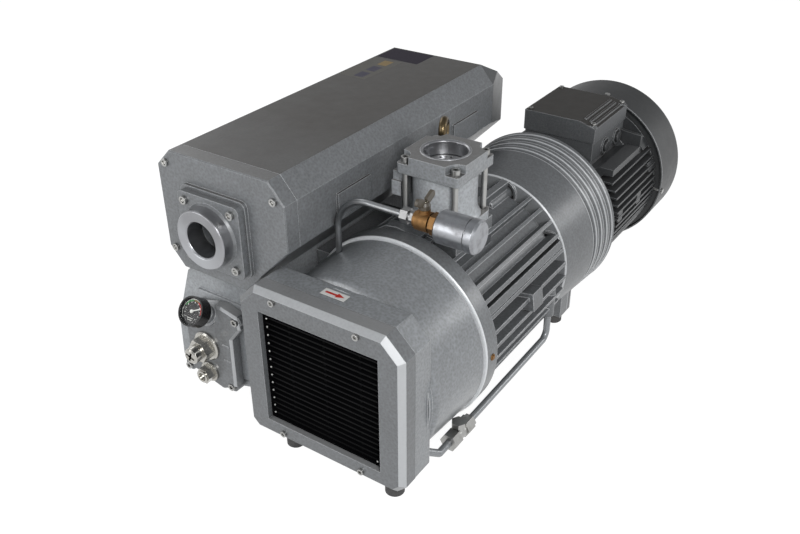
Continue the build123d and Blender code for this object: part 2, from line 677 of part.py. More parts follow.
def ballast_route(points):
    # one tight bend inside the drum, one wide bend above it
    a, b, c, d = points
    low = FilletPolyline(a, b, (b[0], b[1], c[2] - BALLAST_BEND - 6.0), radius=14.0)
    high = FilletPolyline((b[0], b[1], c[2] - BALLAST_BEND - 6.0), c, d, radius=BALLAST_BEND)
    return Wire(low.edges() + high.edges())


def make_ballast_tube():
    # from the end plate up through the drum, over to the right and into the nut
    low = SHAFT_Z + 72.0
    path = [(BALLAST_X, DRUM_Y1 + 12 - GAP, low), (BALLAST_X, BALLAST_Y, low),
            (BALLAST_X, BALLAST_Y, BALLAST_Z), (VALVE_X - 22.0, BALLAST_Y, BALLAST_Z)]
    wire = ballast_route(path)
    start = Plane(origin=wire @ 0, z_dir=wire % 0)
    return sweep(start * Circle(BALLAST_TUBE_R), path=wire)


def ballast_rod(radius, x0, x1):
    return rod_x(radius, VALVE_X + x0, VALVE_X + x1, BALLAST_Y, BALLAST_Z)


def ballast_hex(across, x0, x1):
    return hex_x(across, VALVE_X + x0, VALVE_X + x1, BALLAST_Y, BALLAST_Z)


def make_ballast_nut():
    nut = ballast_hex(17.0, -30.0, -20.0)
    body = nut + ballast_rod(7.0, -20.5, -16.5) + ballast_hex(15.0, -17.0, -12.2)
    return body - ballast_rod(BALLAST_TUBE_R + RUN, -31.0, -21.5)


def make_ballast_valve_body():
    body = ballast_rod(10.0, -12, 12) + ballast_rod(12.5, -8.5, 9.0) + ballast_hex(24.0, 11, 21)
    body = body + rod_z(7.0, BALLAST_Z, BALLAST_Z + 15.5, VALVE_X, BALLAST_Y)
    body = body - ballast_rod(4.5, -13, 22)
    body = body - ballast_rod(8.6, -8.6, 8.6)
    return body - rod_z(3.0 + RUN, BALLAST_Z, BALLAST_Z + 20, VALVE_X, BALLAST_Y)


def make_ballast_ball():
    ball = Pos(VALVE_X, BALLAST_Y, BALLAST_Z) * Sphere(8.3)
    # its bore lies across the line while the valve is shut
    ball = ball - Pos(0, BALLAST_Y, 0) * rod_y(3.8, -12, 12, VALVE_X, BALLAST_Z)
    return ball + rod_z(3.0, BALLAST_Z + 6, BALLAST_Z + 25, VALVE_X, BALLAST_Y)


def make_ballast_handle():
    z = BALLAST_Z + 15.8
    hub = turned_z([(0, z), (6.8, z), (6.8, z + 5), (5.0, z + 8.5), (0, z + 8.5)], VALVE_X, BALLAST_Y)
    wing = Pos(0, 0, z + 5) * Rot(0, -26, 0) * Pos(10.5, 0, 1) * Box(20, 4.0, 9.5)
    wing = fillet(wing.edges().filter_by(Axis.Y), 3.6)
    # the wings stand across the line while the valve is shut
    wings = Pos(VALVE_X, BALLAST_Y, 0) * (Rot(0, 0, 90) * wing + Rot(0, 0, 270) * wing)
    return (hub + wings) - rod_z(3.0, z - 1, z + 12, VALVE_X, BALLAST_Y)


def make_ballast_silencer():
    x0 = VALVE_X + 21.2
    x1 = x0 + SILENCER_LONG
    r = SILENCER_R
    face = make_face(Polyline((x0, 0), (x0, r - 2), (x0 + 2, r), (x1 - 13, r), (x1 - 13, r - 0.8),
                              (x1 - 11.5, r - 0.8), (x1 - 11.5, r + 0.5), (x1 - 2.5, r + 0.5), (x1, r - 2),
                              (x1, 0), close=True))
    body = Pos(0, BALLAST_Y, BALLAST_Z) * revolve(face, Axis.X)
    body = body - rod_x(r - 4, x0 + 4, x1 - 4, BALLAST_Y, BALLAST_Z)
    return body - rod_x(4.5, x0 - 1, x0 + 6, BALLAST_Y, BALLAST_Z)


# Exhaust box

def sep_outline(inset=0.0):
    k = inset * (2.0 - math.sqrt(2.0))
    x0 = SEP_X0 + inset
    x1 = SEP_X1 - inset
    z0 = SEP_Z0 + inset
    z1 = SEP_Z1 - inset
    c = SEP_CUT - k
    big = SEP_BIG_CUT - k
    return [(x0, z0 + c + 4), (x0 + c, z0), (x1 - big, z0), (x1, z0 + big + 2),
            (x1, z1 - c - 4), (x1 - c, z1), (x0 + c, z1), (x0, z1 - c)]


def rear_wedge(drop, back, inset):
    # everything above the sloping rear end of the box
    y0 = SEP_Y1 - inset * 0.3
    z = SEP_Z1 - inset
    face = make_face(Plane.YZ * Polyline((y0, z), (y0 + back + 20, z - drop - drop * 20 / back),
                                         (y0 + back + 20, z + 60), (y0, z + 60), close=True))
    return Pos(-300, 0, 0) * extrude(face, amount=400)


def make_separator_body():
    end = SEP_Y1 + SEP_BACK
    outer = prism_y(sep_outline(), SEP_Y0, end) - rear_wedge(SEP_DROP, SEP_BACK, 0.0)
    side = make_face(Plane.XY * Polyline((SEP_X1, SEP_Y1), (SEP_X1 - 30, end + 6), (SEP_X1 + 20, end + 6),
                                         (SEP_X1 + 20, SEP_Y1), close=True))
    outer = outer - extrude(side, amount=500)
    inner = prism_y(sep_outline(SEP_WALL), SEP_Y0 - 1, SEP_Y1 - 12)
    body = outer - inner
    # wall that carries the exhaust filters, with its two holes
    wall = prism_y(sep_outline(SEP_WALL - 1), 60.0, 66.0)
    for x, z in filter_places():
        wall = wall - rod_y(26.0, 55, 70, x, z)
    body = body + wall
    for y, z in ((-97.0, 327.0), (178.0, 323.0)):
        body = body + box(SEP_X1 - 2, SEP_X1 + 3.5, y - 34, y + 34, z - 26, z + 8)
    # oil passage down to the sump
    return body - passage(SEP_Z0 - 1, SEP_Z0 + SEP_WALL + 1)


def passage(z0, z1):
    # oil runs through it from the exhaust box down into the sump
    return box(SUMP_X1 - 70, SUMP_X1 - 14, -110.0, -40.0, z0, z1)


def filter_places():
    return [(SEP_X0 + 56, SEP_Z0 + 80), (SEP_X1 - 66, SEP_Z0 + 102)]


def make_separator_cover():
    body = prism_y(sep_outline(), COVER_Y0, SEP_Y0)
    front = body.faces().sort_by(Axis.Y)[0]
    body = chamfer(front.outer_wire().edges(), 1.5)
    body = body - prism_y(sep_outline(10.0), COVER_Y0 + 10.0, SEP_Y0 + 1)
    pad = Plane((PORT_X, COVER_Y0 + 1, PORT_Z + 1), x_dir=(1, 0, 0), z_dir=(0, -1, 0)) * RectangleRounded(106, 104, 9)
    body = body + extrude(pad, amount=6.0)
    return body - rod_y(24.0, COVER_Y0 - 10, SEP_Y0 + 1, PORT_X, PORT_Z)


def cover_screw_places():
    return [(SEP_X0 + 16, SEP_Z1 - 17), (SEP_X1 - 15, SEP_Z1 - 24), (SEP_X0 + 13, SEP_Z0 + 28)]


def make_cover_screws():
    return [socket_screw_y(5.0, COVER_Y0, x, z, 3.5) for x, z in cover_screw_places()]


def make_exhaust_flange():
    y1 = COVER_Y0 - 5.0
    y0 = y1 - 9.0
    plate = Plane((PORT_X, y1, PORT_Z), x_dir=(1, 0, 0), z_dir=(0, -1, 0)) * RectangleRounded(100, 98, 8)
    body = extrude(plate, amount=9.0)
    collar = turned_y([(0, y0 - 18), (COLLAR_R - 1.2, y0 - 18), (COLLAR_R, y0 - 16.8), (COLLAR_R + 1, y0 - 3),
                       (COLLAR_R + 4, y0 + 1), (0, y0 + 1)], PORT_X, PORT_Z)
    bore = turned_y([(0, y0 - 20), (PORT_BORE_R + 2, y0 - 20), (PORT_BORE_R + 2, y0 - 18), (PORT_BORE_R, y0 - 16),
                     (PORT_BORE_R, y1 + 1), (0, y1 + 1)], PORT_X, PORT_Z)
    return body + collar - bore


def make_flange_screws():
    seat = COVER_Y0 - 14.0
    places = [(PORT_X + sx * 38, PORT_Z + sz * 38) for sx in (-1, 1) for sz in (-1, 1)]
    return [socket_screw_y(5.5, seat, x, z, 4.0) for x, z in places]


def make_exhaust_filters():
    filters = []
    for x, z in filter_places():
        body = ring_y(33.0, 18.0, -170.0, 59.7, x, z) + ring_y(25.8, 18.0, 59.0, 68.0, x, z)
        cap = rod_y(33.0, -176.0, -169.0, x, z)
        filters.append(body + cap)
    return filters


def make_float_valve():
    ball = Pos(FLOAT_X, -60, FLOAT_Z) * Sphere(20.0)
    arm = box(FLOAT_X - 3, FLOAT_X + 3, -62, 8, FLOAT_Z - 2, FLOAT_Z + 2)
    body = ball + arm + rod_x(5.0, FLOAT_X - 5, FLOAT_X + 5, 10.0, FLOAT_Z)
    return body - rod_x(2.5 + RUN, FLOAT_X - 6, FLOAT_X + 6, 10.0, FLOAT_Z)


def make_sump():
    outline = [(-251.5, SEP_Z0), (-274.5, SEP_Z0 - 24), (-306.5, 104.5), (-309.5, 40), (-300, SUMP_Z0),
               (-222, SUMP_Z0), (SUMP_X1, SUMP_Z0 + SUMP_RISE), (SUMP_X1, SEP_Z0)]
    inside = [(-247.5, SEP_Z0 - 6), (-267.5, SEP_Z0 - 27), (-299.5, 103), (-302.5, 42), (-296, SUMP_Z0 + 7),
              (-224, SUMP_Z0 + 7), (SUMP_X1 - 7, SUMP_Z0 + 21), (SUMP_X1 - 7, SEP_Z0 - 6)]
    body = prism_y(outline, SEP_Y0, SUMP_Y1) - prism_y(inside, SEP_Y0 + 7, SUMP_Y1 - 7)
    pad = [(-269, 48.5), (-175.5, 48.5), (-175.5, 173), (-255.5, 173), (-269, 150.5)]
    body = body + prism_y(pad, SEP_Y0 - 4, SEP_Y0 + 1)
    body = body - passage(SEP_Z0 - 8, SEP_Z0 + 1)
    body = body - rod_x(20.0, SUMP_X1 - 10, SUMP_X1 + 1, 40.0, SHAFT_Z)
    # lugs that hold the float's pin
    for x in (FLOAT_X - 9.0, FLOAT_X + 6.0):
        body = body + box(x, x + 3, 2, 18, SUMP_Z0 + 3, FLOAT_Z + 8)
    return body + rod_x(2.5, FLOAT_X - 7, FLOAT_X + 7, 10.0, FLOAT_Z)


def tilted(origin, direction):
    return Plane(origin, x_dir=(1, 0, 0), z_dir=direction)


def along_gauge(t):
    return tuple(GAUGE[i] + GAUGE_DIR[i] * t for i in range(3))


def gauge_disc(radius, t0, t1):
    return extrude(tilted(along_gauge(t0), GAUGE_DIR) * Circle(radius), amount=t1 - t0)


def make_oil_block():
    y1 = SEP_Y0 - 4.0
    outline = [(-271.5, 44.5), (-213, 29.5), (-188, 42), (-186, 122.5), (-167.5, 146), (-172.5, 165),
               (-200.5, 171), (-248.5, 161), (-271.5, 123.5)]
    body = prism_y(outline, BLOCK_Y0, y1)
    front = body.faces().sort_by(Axis.Y)[0]
    body = chamfer(front.outer_wire().edges(), 3.0)
    for x, z in block_screw_places():
        body = body + rod_y(9.0, BLOCK_Y0 + 4, y1, x, z)
        body = body - rod_y(5.8, BLOCK_Y0 - 1, BLOCK_Y0 + 4, x, z)
    body = body - gauge_disc(24.0, 12.5, 70.0)
    body = body + gauge_disc(15.5, 7.0, 12.5) + gauge_disc(12.5, 12.0, GAUGE_OUT - 12.0)
    # two level marks as plain raised bars beside the sight glass
    for z in (FILL_Z + 11, FILL_Z - 14):
        body = body + box(PLUG_X + 30, PLUG_X + 41, BLOCK_Y0 - 1.2, BLOCK_Y0 + 1, z, z + 2.4)
    return body - rod_y(11.0, BLOCK_Y0 - 2, y1 - 4, PLUG_X, FILL_Z)


def block_screw_places():
    return [(-176.5, 155.5), (-196.5, 40.0), (-277.5, 44.5)]


def make_block_screws():
    return [socket_screw_y(5.2, BLOCK_Y0 + 4, x, z, 5.0) for x, z in block_screw_places()]


def make_gauge_body():
    g = GAUGE_OUT
    stem = extrude(tilted(along_gauge(g - 12.0), GAUGE_DIR) * hexagon(15.0), amount=12.5)
    case = gauge_disc(20.3, g, g + 17.5) - gauge_disc(18.2, g + 13.5, g + 18.5)
    return stem + case


def make_gauge_needle():
    hub = gauge_disc(2.3, GAUGE_OUT + 13.8, GAUGE_OUT + 15.8)
    blade = Pos(6.2, 3.3) * Rot(0, 0, 28) * Rectangle(15.5, 1.5)
    return hub + extrude(tilted(along_gauge(GAUGE_OUT + 14.6), GAUGE_DIR) * blade, amount=0.8)


def make_gauge_glass():
    return gauge_disc(18.0, GAUGE_OUT + 16.2, GAUGE_OUT + 17.4)


def make_filler_plug():
    y = BLOCK_Y0
    body = turned_y([(0, y - 5), (20, y - 5), (22, y - 3), (22, y), (0, y)], PLUG_X, FILL_Z)
    body = body + hex_y(30.0, y - 19, y - 4.5, PLUG_X, FILL_Z)
    body = body + turned_y([(0, y - 33), (9.5, y - 33), (11.5, y - 31), (11.5, y - 18.5), (0, y - 18.5)],
                           PLUG_X, FILL_Z)
    body = body + rod_y(10.8, y - 4, y + 10, PLUG_X, FILL_Z)
    cross = box(-7.5, 7.5, y - 34, y - 27, -1.7, 1.7) + box(-1.7, 1.7, y - 34, y - 27, -7.5, 7.5)
    return body - Pos(PLUG_X, 0, FILL_Z) * Rot(0, 20, 0) * cross


def make_drain_plug():
    y = BLOCK_Y0
    body = rod_y(15.0, y - 3.5, y, PLUG_X, DRAIN_Z) + hex_y(21.0, y - 16, y - 3, PLUG_X, DRAIN_Z)
    body = body + rod_y(9.0, y - 18, y - 15.5, PLUG_X, DRAIN_Z)
    return body - rod_y(6.2, y - 19, y - 14, PLUG_X, DRAIN_Z)


# Oil cooling line and feet

def make_oil_pipe():
    top = SHAFT_Z - 46.5
    back = bent_tube([(PIPE_X, TEE_Y + 25, PIPE_Z), (PIPE_X, PIPE_Y, PIPE_Z), (PIPE_X, PIPE_Y, top)], TUBE_R, 14.0)
    front = bent_tube([(106.0, HOUSING_Y1 + GAP, 60.0), (106.0, -203.0, 60.0), (PIPE_X, -182.0, PIPE_Z),
                       (PIPE_X, TEE_Y - 15, PIPE_Z)], TUBE_R, 4.0)
    return [back, front]


def make_pipe_fittings():
    y = TEE_Y
    tee = rod_y(9.5, y - 9, y + 9, PIPE_X, PIPE_Z) + rod_z(8.0, PIPE_Z, PIPE_Z + 15, PIPE_X, y)
    body = tee + hex_y(22.0, y - 24, y - 8, PIPE_X, PIPE_Z) + hex_y(22.0, y + 8, y + 23, PIPE_X, PIPE_Z)
    body = body + hex_y(18.0, y + 22.5, y + 29, PIPE_X, PIPE_Z)
    body = body + Pos(PIPE_X, y, PIPE_Z + 12) * extrude(hexagon(17.0), amount=7)
    body = body - rod_y(TUBE_R + RUN, y - 25, y - 14.5, PIPE_X, PIPE_Z)
    body = body - rod_y(TUBE_R + RUN, y + 24.5, y + 32, PIPE_X, PIPE_Z)
    return body


def make_feet():
    feet = []
    r = FOOT_R
    for sx in (-1, 1):
        high = COWL_Z0 + HOUSING_STEP
        profile = [(0, 0), (r - 2, 0), (r, 2), (r, 26), (r - 2, 28), (9, 28), (9, high), (0, high)]
        feet.append(turned_z(profile, sx * FOOT_X, -FOOT_Y))
        high = REAR_FOOT_TOP
        profile = [(0, 0), (r - 2, 0), (r, 2), (r, 15), (r - 2, 17), (9, 17), (9, high), (0, high)]
        feet.append(turned_z(profile, sx * FOOT_X, FOOT_Y))
    holes = [rod_z(FOOT_HOLE_R, -1, 14, x, y) for x, y in foot_places()]
    return [foot - hole for foot, hole in zip(feet, holes)]


def foot_places():
    places = []
    for sx in (-1, 1):
        places.append((sx * FOOT_X, -FOOT_Y))
        places.append((sx * FOOT_X, FOOT_Y))
    return places


PARTS = {
    "radiator_frame": make_radiator_frame,
    "radiator_screws": make_radiator_screws,
    "radiator_core": make_radiator_core,
    "fan_housing": make_fan_housing,
    "cooling_fan": make_cooling_fan,
    "front_end_plate": make_front_end_plate,
    "pump_cylinder": make_pump_cylinder,
    "rear_end_plate": make_rear_end_plate,
    "pump_rotor": make_pump_rotor,
    "vanes": make_vanes,
    "pump_bearings": make_pump_bearings,
    "shaft_seals": make_shaft_seals,
    "pump_coupling": make_pump_coupling,
    "coupling_spider": make_coupling_spider,
    "motor_coupling": make_motor_coupling,
    "bell_housing": make_bell_housing,
    "motor_flange": make_motor_flange,
    "motor_frame": make_motor_frame,
    "motor_stator": make_motor_stator,
    "motor_rotor": make_motor_rotor,
    "motor_bearings": make_motor_bearings,
    "motor_shield": make_motor_shield,
    "motor_fan": make_motor_fan,
    "motor_cowl": make_motor_cowl,
    "cowl_screws": make_cowl_screws,
    "terminal_box": make_terminal_box,
    "terminal_lid": make_terminal_lid,
    "lid_screws": make_lid_screws,
    "cable_plugs": make_cable_plugs,
    "inlet_valve_body": make_inlet_valve_body,
    "inlet_flange": make_inlet_flange,
    "inlet_bolts": make_inlet_bolts,
    "inlet_screen": make_inlet_screen,
    "valve_plate": make_valve_plate,
    "valve_spring": make_valve_spring,
    "lifting_eye": make_lifting_eye,
    "ballast_tube": make_ballast_tube,
    "ballast_nut": make_ballast_nut,
    "ballast_valve_body": make_ballast_valve_body,
    "ballast_ball": make_ballast_ball,
    "ballast_handle": make_ballast_handle,
    "ballast_silencer": make_ballast_silencer,
    "separator_body": make_separator_body,
    "separator_cover": make_separator_cover,
    "cover_screws": make_cover_screws,
    "exhaust_flange": make_exhaust_flange,
    "flange_screws": make_flange_screws,
    "exhaust_filters": make_exhaust_filters,
    "float_valve": make_float_valve,
    "sump": make_sump,
    "oil_block": make_oil_block,
    "block_screws": make_block_screws,
    "gauge_body": make_gauge_body,
    "gauge_needle": make_gauge_needle,
    "gauge_glass": make_gauge_glass,
    "filler_plug": make_filler_plug,
    "drain_plug": make_drain_plug,
    "oil_pipe": make_oil_pipe,
    "pipe_fittings": make_pipe_fittings,
    "feet": make_feet,
}

os.makedirs("parts", exist_ok=True)
for node, make in PARTS.items():
    made = make()
    solids = []
    for item in (made if isinstance(made, list) else [made]):
        solids += item.solids()
    shape = solids[0] if len(solids) == 1 else Compound(children=solids)
    shape.label = node
    export_step(shape, f"parts/{node}.step")
    size = shape.bounding_box().size
    print(f"{node:20s} solids {len(solids):2d} volume {shape.volume:12.0f} "
          f"size {size.X:7.1f} {size.Y:7.1f} {size.Z:7.1f}")
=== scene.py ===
# %% [markdown]
# # An oil-lubricated vacuum pump
# The pump is a row of grey castings on one shaft: an oil cooler with its fan, a finned cylinder,
# a bell housing and an electric motor. A long exhaust box lies beside it on an oil sump.
# The solids come from the CAD model, at real size and in metres. This script keeps them where
# they are, gives every one a finish, and adds the few pieces that the CAD model leaves out.

# %% Load the frame
import math

import bmesh
import bpy
from mathutils import Matrix, Vector


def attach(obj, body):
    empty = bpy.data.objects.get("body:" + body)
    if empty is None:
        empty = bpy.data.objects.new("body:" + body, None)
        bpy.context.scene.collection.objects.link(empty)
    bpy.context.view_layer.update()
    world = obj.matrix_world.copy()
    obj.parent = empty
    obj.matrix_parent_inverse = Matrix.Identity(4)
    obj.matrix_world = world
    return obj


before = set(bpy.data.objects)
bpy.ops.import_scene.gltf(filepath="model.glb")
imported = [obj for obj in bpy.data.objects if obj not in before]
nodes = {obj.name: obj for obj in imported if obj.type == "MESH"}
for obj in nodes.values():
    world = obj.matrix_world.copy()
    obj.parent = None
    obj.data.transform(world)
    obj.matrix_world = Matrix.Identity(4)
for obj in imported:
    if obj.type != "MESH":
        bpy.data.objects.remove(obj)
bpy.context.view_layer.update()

# %% [markdown]
# ## Shader sums
# A finish is a small calculation: a mask, a bump height, a colour between two others. It could be
# drawn by hand in the node editor, but a written sum is easier to read and change. One class wraps
# a node socket and turns +, - and * into Math nodes. Colours don't go through Math nodes, which
# would turn them grey.

# %% A socket that can be used in a sum


class Value:
    def __init__(self, look, socket):
        self.look = look
        self.socket = socket

    def maths(self, operation, first, second):
        return self.look.node("ShaderNodeMath", {"operation": operation}, {0: first, 1: second})

    def __add__(self, other):
        return self.maths("ADD", self, other)

    def __radd__(self, other):
        return self.maths("ADD", other, self)

    def __sub__(self, other):
        return self.maths("SUBTRACT", self, other)

    def __rsub__(self, other):
        return self.maths("SUBTRACT", other, self)

    def __mul__(self, other):
        return self.maths("MULTIPLY", self, other)

    def __rmul__(self, other):
        return self.maths("MULTIPLY", other, self)

    def over(self, low, high):
        # 0 below low, 1 above high, smooth between
        return self.look.node("ShaderNodeMapRange", {"interpolation_type": "SMOOTHSTEP"},
                              {0: self, 1: low, 2: high, 3: 0.0, 4: 1.0})


print("Sums: add, subtract, multiply, and a smooth step")

# %% [markdown]
# ## One material at a time
# A Look holds one material, or the world, while it is being made. Its node method adds any node:
# the settings are set first, then the sockets get a number, a colour or a link. The other methods
# are the few things that most finishes here share: where a point is, a mix of two colours, the
# corners where shade is painted, the rounded edges where a highlight is painted.

# %% A material under construction

NOISE_ROUGHNESS = 0.55
FLAT_TOP = (0.80, 0.97)
CREASE = (0.35, 0.85)
ROUNDED = (0.02, 0.25)


class Look:
    def __init__(self, owner):
        self.owner = owner
        owner.use_nodes = True
        self.tree = owner.node_tree
        self.tree.nodes.clear()

    def node(self, kind, settings=None, sockets=None, output=0):
        made = self.tree.nodes.new(kind)
        for key, value in (settings or {}).items():
            setattr(made, key, value)
        for key, value in (sockets or {}).items():
            if isinstance(value, Value):
                self.tree.links.new(value.socket, made.inputs[key])
            else:
                made.inputs[key].default_value = value
        return Value(self, made.outputs[output])

    def place(self):
        return self.node("ShaderNodeTexCoord", output="Object")

    def normal(self):
        return self.node("ShaderNodeNewGeometry", output="Normal")

    def parts_of(self, vector):
        split = self.node("ShaderNodeSeparateXYZ", None, {0: vector}).socket.node
        return [Value(self, split.outputs[i]) for i in range(3)]

    def noise(self, scale, detail, vector=None):
        return self.node("ShaderNodeTexNoise", None,
                         {"Vector": vector or self.place(), "Scale": scale, "Detail": detail,
                          "Roughness": NOISE_ROUGHNESS})

    def cells(self, scale):
        return self.node("ShaderNodeTexVoronoi", {"feature": "SMOOTH_F1"},
                         {"Vector": self.place(), "Scale": scale})

    def clamp(self, value):
        return self.node("ShaderNodeClamp", None, {0: value})

    def mix(self, factor, first, second):
        # the colour sockets of a Mix node are numbers 6 and 7, and its colour output is number 2
        return self.node("ShaderNodeMix", {"data_type": "RGBA"}, {0: factor, 6: first, 7: second},
                         output=2)

    def facing_up(self):
        return self.parts_of(self.normal())[2].over(*FLAT_TOP)

    def soft_edges(self, radius):
        return self.node("ShaderNodeBevel", {"samples": 6}, {"Radius": radius})

    def edge_mask(self, soft):
        # 1 where the rounded normal turns away from the flat one
        same = self.node("ShaderNodeVectorMath", {"operation": "DOT_PRODUCT"},
                         {0: soft, 1: self.normal()}, output=1)
        return (1.0 - same).over(*ROUNDED)

    def creases(self, distance):
        # 1 deep in a corner or socket, 0 in the open: the mask for painted shade
        open_share = self.node("ShaderNodeAmbientOcclusion", {"samples": 4}, {"Distance": distance},
                               output=1)
        return (1.0 - open_share).over(*CREASE)

    def bump(self, height, distance, strength, normal=None):
        sockets = {"Height": height, "Distance": distance, "Strength": strength}
        if normal:
            sockets["Normal"] = normal
        return self.node("ShaderNodeBump", None, sockets)

    def finish(self, **sockets):
        # base_color sets the socket Base Color, and so on
        named = {key.replace("_", " ").title().replace("Ior", "IOR"): value
                 for key, value in sockets.items()}
        self.show(self.node("ShaderNodeBsdfPrincipled", None, named), "ShaderNodeOutputMaterial")
        return self.owner

    def show(self, surface, kind):
        out = self.tree.nodes.new(kind)
        self.tree.links.new(surface.socket, out.inputs["Surface"])


def grey(level, warm=0.0):
    return (level * (1 + warm), level, level * (1 - warm), 1.0)


def scaled(colour, share):
    return tuple(min(1.0, c * share) for c in colour[:3]) + (1.0,)


print("A Look can make:", [key for key in vars(Look) if not key.startswith("_")])

# %% [markdown]
# ## Masks of the castings
# Three marks lie only on parts of a casting. A turned mouth is bare metal inside a circle. The
# chamfers that lean towards the lamp get a painted highlight. Turned lips get painted highlights
# and grooves painted shade, in bands across the length. Each could be painted on an image, but
# sums of the place and the normal stay sharp at any distance and need no unwrapping.

# %% Masks by place and by direction

BAND_STEP = 0.0006


def round_mask(look, axis, centre, radius):
    # 1 within a radius of a line along Y or Z
    parts = look.parts_of(look.place())
    across = (parts[0], parts[2]) if axis == "Y" else (parts[0], parts[1])
    first = across[0] - centre[0]
    second = across[1] - centre[1]
    inside = first * first + second * second
    return 1.0 - inside.over(radius * radius * 0.97, radius * radius * 1.03)


def chamfer_shine(look):
    # 1 on slopes that face half forward, most where they also face right and up
    side, along, up = look.parts_of(look.normal())
    forward = 0.0 - along
    slanted = forward.over(0.40, 0.60) * (1.0 - forward.over(0.80, 0.95))
    return slanted * (side * 0.9 + up * 0.5).over(-0.2, 1.0)


def band_mask(length, start, end):
    step = min(BAND_STEP, (end - start) * 0.4)
    return length.over(start, start + step) * (1.0 - length.over(end - step, end))


print("Band edges blend over", BAND_STEP * 1000, "mm")

# %% [markdown]
# ## Hammered enamel
# The castings are sprayed with a silver enamel that pulls itself into small dimples while it
# dries. Each dimple is a shallow bowl with a slightly darker bottom, about 3 mm across. Voronoi
# cells give that shape directly, and a finer noise breaks them up. A bevelled normal rounds the
# sharp casting edges and marks where they are, and there the colour gets a painted highlight
# with the wear of thin paint. What faces up gets oily dust with painted light and shade, darker
# than the paint or, on the cooler, paler. Corners and sockets get painted shade.

# %% Hammered enamel on the castings

CELLS_PER_METRE = 330.0
CLOUD_SCALE = 9.0
PATCH_SCALE = 60.0
GRAIN_SCALE = 900.0
MEAN_HEIGHT = 0.42
DARKEST = 0.66
LIGHTEST = 1.34
# reach, share and colour of the painted shade in corners and sockets
CREASE_SHADE_REACH = 0.012
CREASE_SHADE_SHARE = 0.75
CREASE_SHADE = (0.016, 0.014, 0.012, 1.0)
BARE_LIGHT = (0.40, 0.41, 0.43, 1)
BARE_DARK = (0.24, 0.24, 0.25, 1)
CHAMFER_LIGHT = grey(0.62, -0.02)


def hammered(name, tone, top_dust_and_shade=0.3, top_dust_and_shade_tone=0.34, rear=0.0, dimple=0.00012, cell=CELLS_PER_METRE,
             rough=0.40, metal=0.12, coat=0.22, edge_round=0.0016, edge_gain=0.75, edge_level=0.55, bare=None,
             bands=(), facets=0.0):
    look = Look(bpy.data.materials.new(name))
    soft = look.soft_edges(edge_round)
    edge = look.edge_mask(soft)
    cells = look.cells(cell)
    grain = look.noise(GRAIN_SCALE, 2.0)
    cloud = look.noise(CLOUD_SCALE, 4.0)
    patch = look.noise(PATCH_SCALE, 3.0)
    height = cells * 0.7 + grain * 0.3
    speckle = (height - MEAN_HEIGHT) * 0.85 + (cloud - 0.5) * 0.22 + (patch - 0.5) * 0.14
    base = look.mix((speckle + 0.5).over(0.0, 1.0), grey(tone * DARKEST, -0.02),
                    grey(tone * LIGHTEST, -0.05))
    length = look.parts_of(look.place())[1]
    # up-facing faces get a tone of their own, oily dust with painted light and shade, growing towards the
    # rear by rear
    top_dust_and_shade_share = look.clamp(look.facing_up() * (cloud * 0.5 + 0.62 + length * rear) * top_dust_and_shade)
    base = look.mix(top_dust_and_shade_share, base, grey(tone * top_dust_and_shade_tone, 0.10 if top_dust_and_shade_tone < 1 else 0.0))
    metallic = metal
    roughness = rough + (patch - 0.5) * 0.16 + top_dust_and_shade_share * 0.12 - edge * 0.08
    crease_shade_share = CREASE_SHADE_SHARE
    if bare:
        worn = round_mask(look, *bare)
        base = look.mix(worn, base, look.mix(cloud.over(0.3, 0.7), BARE_LIGHT, BARE_DARK))
        metallic = worn * 0.85 + metal
        roughness = roughness - worn * 0.06
        crease_shade_share = CREASE_SHADE_SHARE - worn * 0.45
    # painted shade in corners and sockets, less of it in a bare turned mouth
    base = look.mix(look.creases(CREASE_SHADE_REACH) * crease_shade_share, base, CREASE_SHADE)
    if facets:
        # painted highlight on the chamfers that face the lamp
        base = look.mix(chamfer_shine(look) * facets, base, CHAMFER_LIGHT)
    # painted highlight on the rounded edges, with the wear of thin paint there
    base = look.mix(edge * edge_gain, base, grey(edge_level, -0.02))
    # bands of painted highlight and painted shade across the length
    for start, end, level, strength in bands:
        band = band_mask(length, start, end) * (grain * 0.5 + 0.75) * strength
        base = look.mix(band, base, grey(level, -0.02))
    return look.finish(base_color=base, metallic=metallic, roughness=roughness,
                       normal=look.bump(height, dimple, 0.9, soft), coat_weight=coat,
                       coat_roughness=0.22)


print("Dimples are", round(1000 / CELLS_PER_METRE, 1), "mm across")

# %% [markdown]
# ## The enamels of this pump
# All castings have one enamel, but not one colour: each is as dirty or worn as its place makes
# it, and its tone also carries painted light and shade for how it is turned towards the lamps.
# The motor is a darker grey with a finer skin. So each casting gets its own tone, and the turned
# ones their bands of painted highlight and painted shade. A band is given by its start and end
# along the shaft, its grey and its strength.

# %% Bands and enamels

# bands of painted highlight on turned lips and rims; the exhaust box's band is painted shade on its rear
# slope
PLATE_BANDS = [(-0.1046, -0.1022, 0.75, 0.95)]
DRUM_BANDS = [(-0.1078, -0.1046, 0.62, 0.9)]
BELL_BANDS = [(0.1508, 0.1534, 0.70, 0.8), (0.3022, 0.3052, 0.40, 0.5)]
COWL_BANDS = [(0.5138, 0.5160, 0.36, 0.8)]
BOX_REAR_SHADE = [(0.2620, 0.4000, 0.045, 0.7)]
FIRST_CREST = 0.235
CREST_STEP = 0.017
for i in range(4):
    # a painted highlight on the crest, painted shade in the groove behind it and a painted highlight on the
    # groove's far lip
    crest = FIRST_CREST + CREST_STEP * i
    BELL_BANDS += [(crest - 0.0016, crest + 0.0004, 0.62, 0.8),
                   (crest + 0.0014, crest + 0.0070, 0.045, 0.75),
                   (crest + 0.0086, crest + 0.0110, 0.62, 0.8)]
INLET_MOUTH = ("Z", (0.015, -0.014), 0.0325)
EXHAUST_COLLAR = ("Y", (-0.180, 0.294), 0.0400)

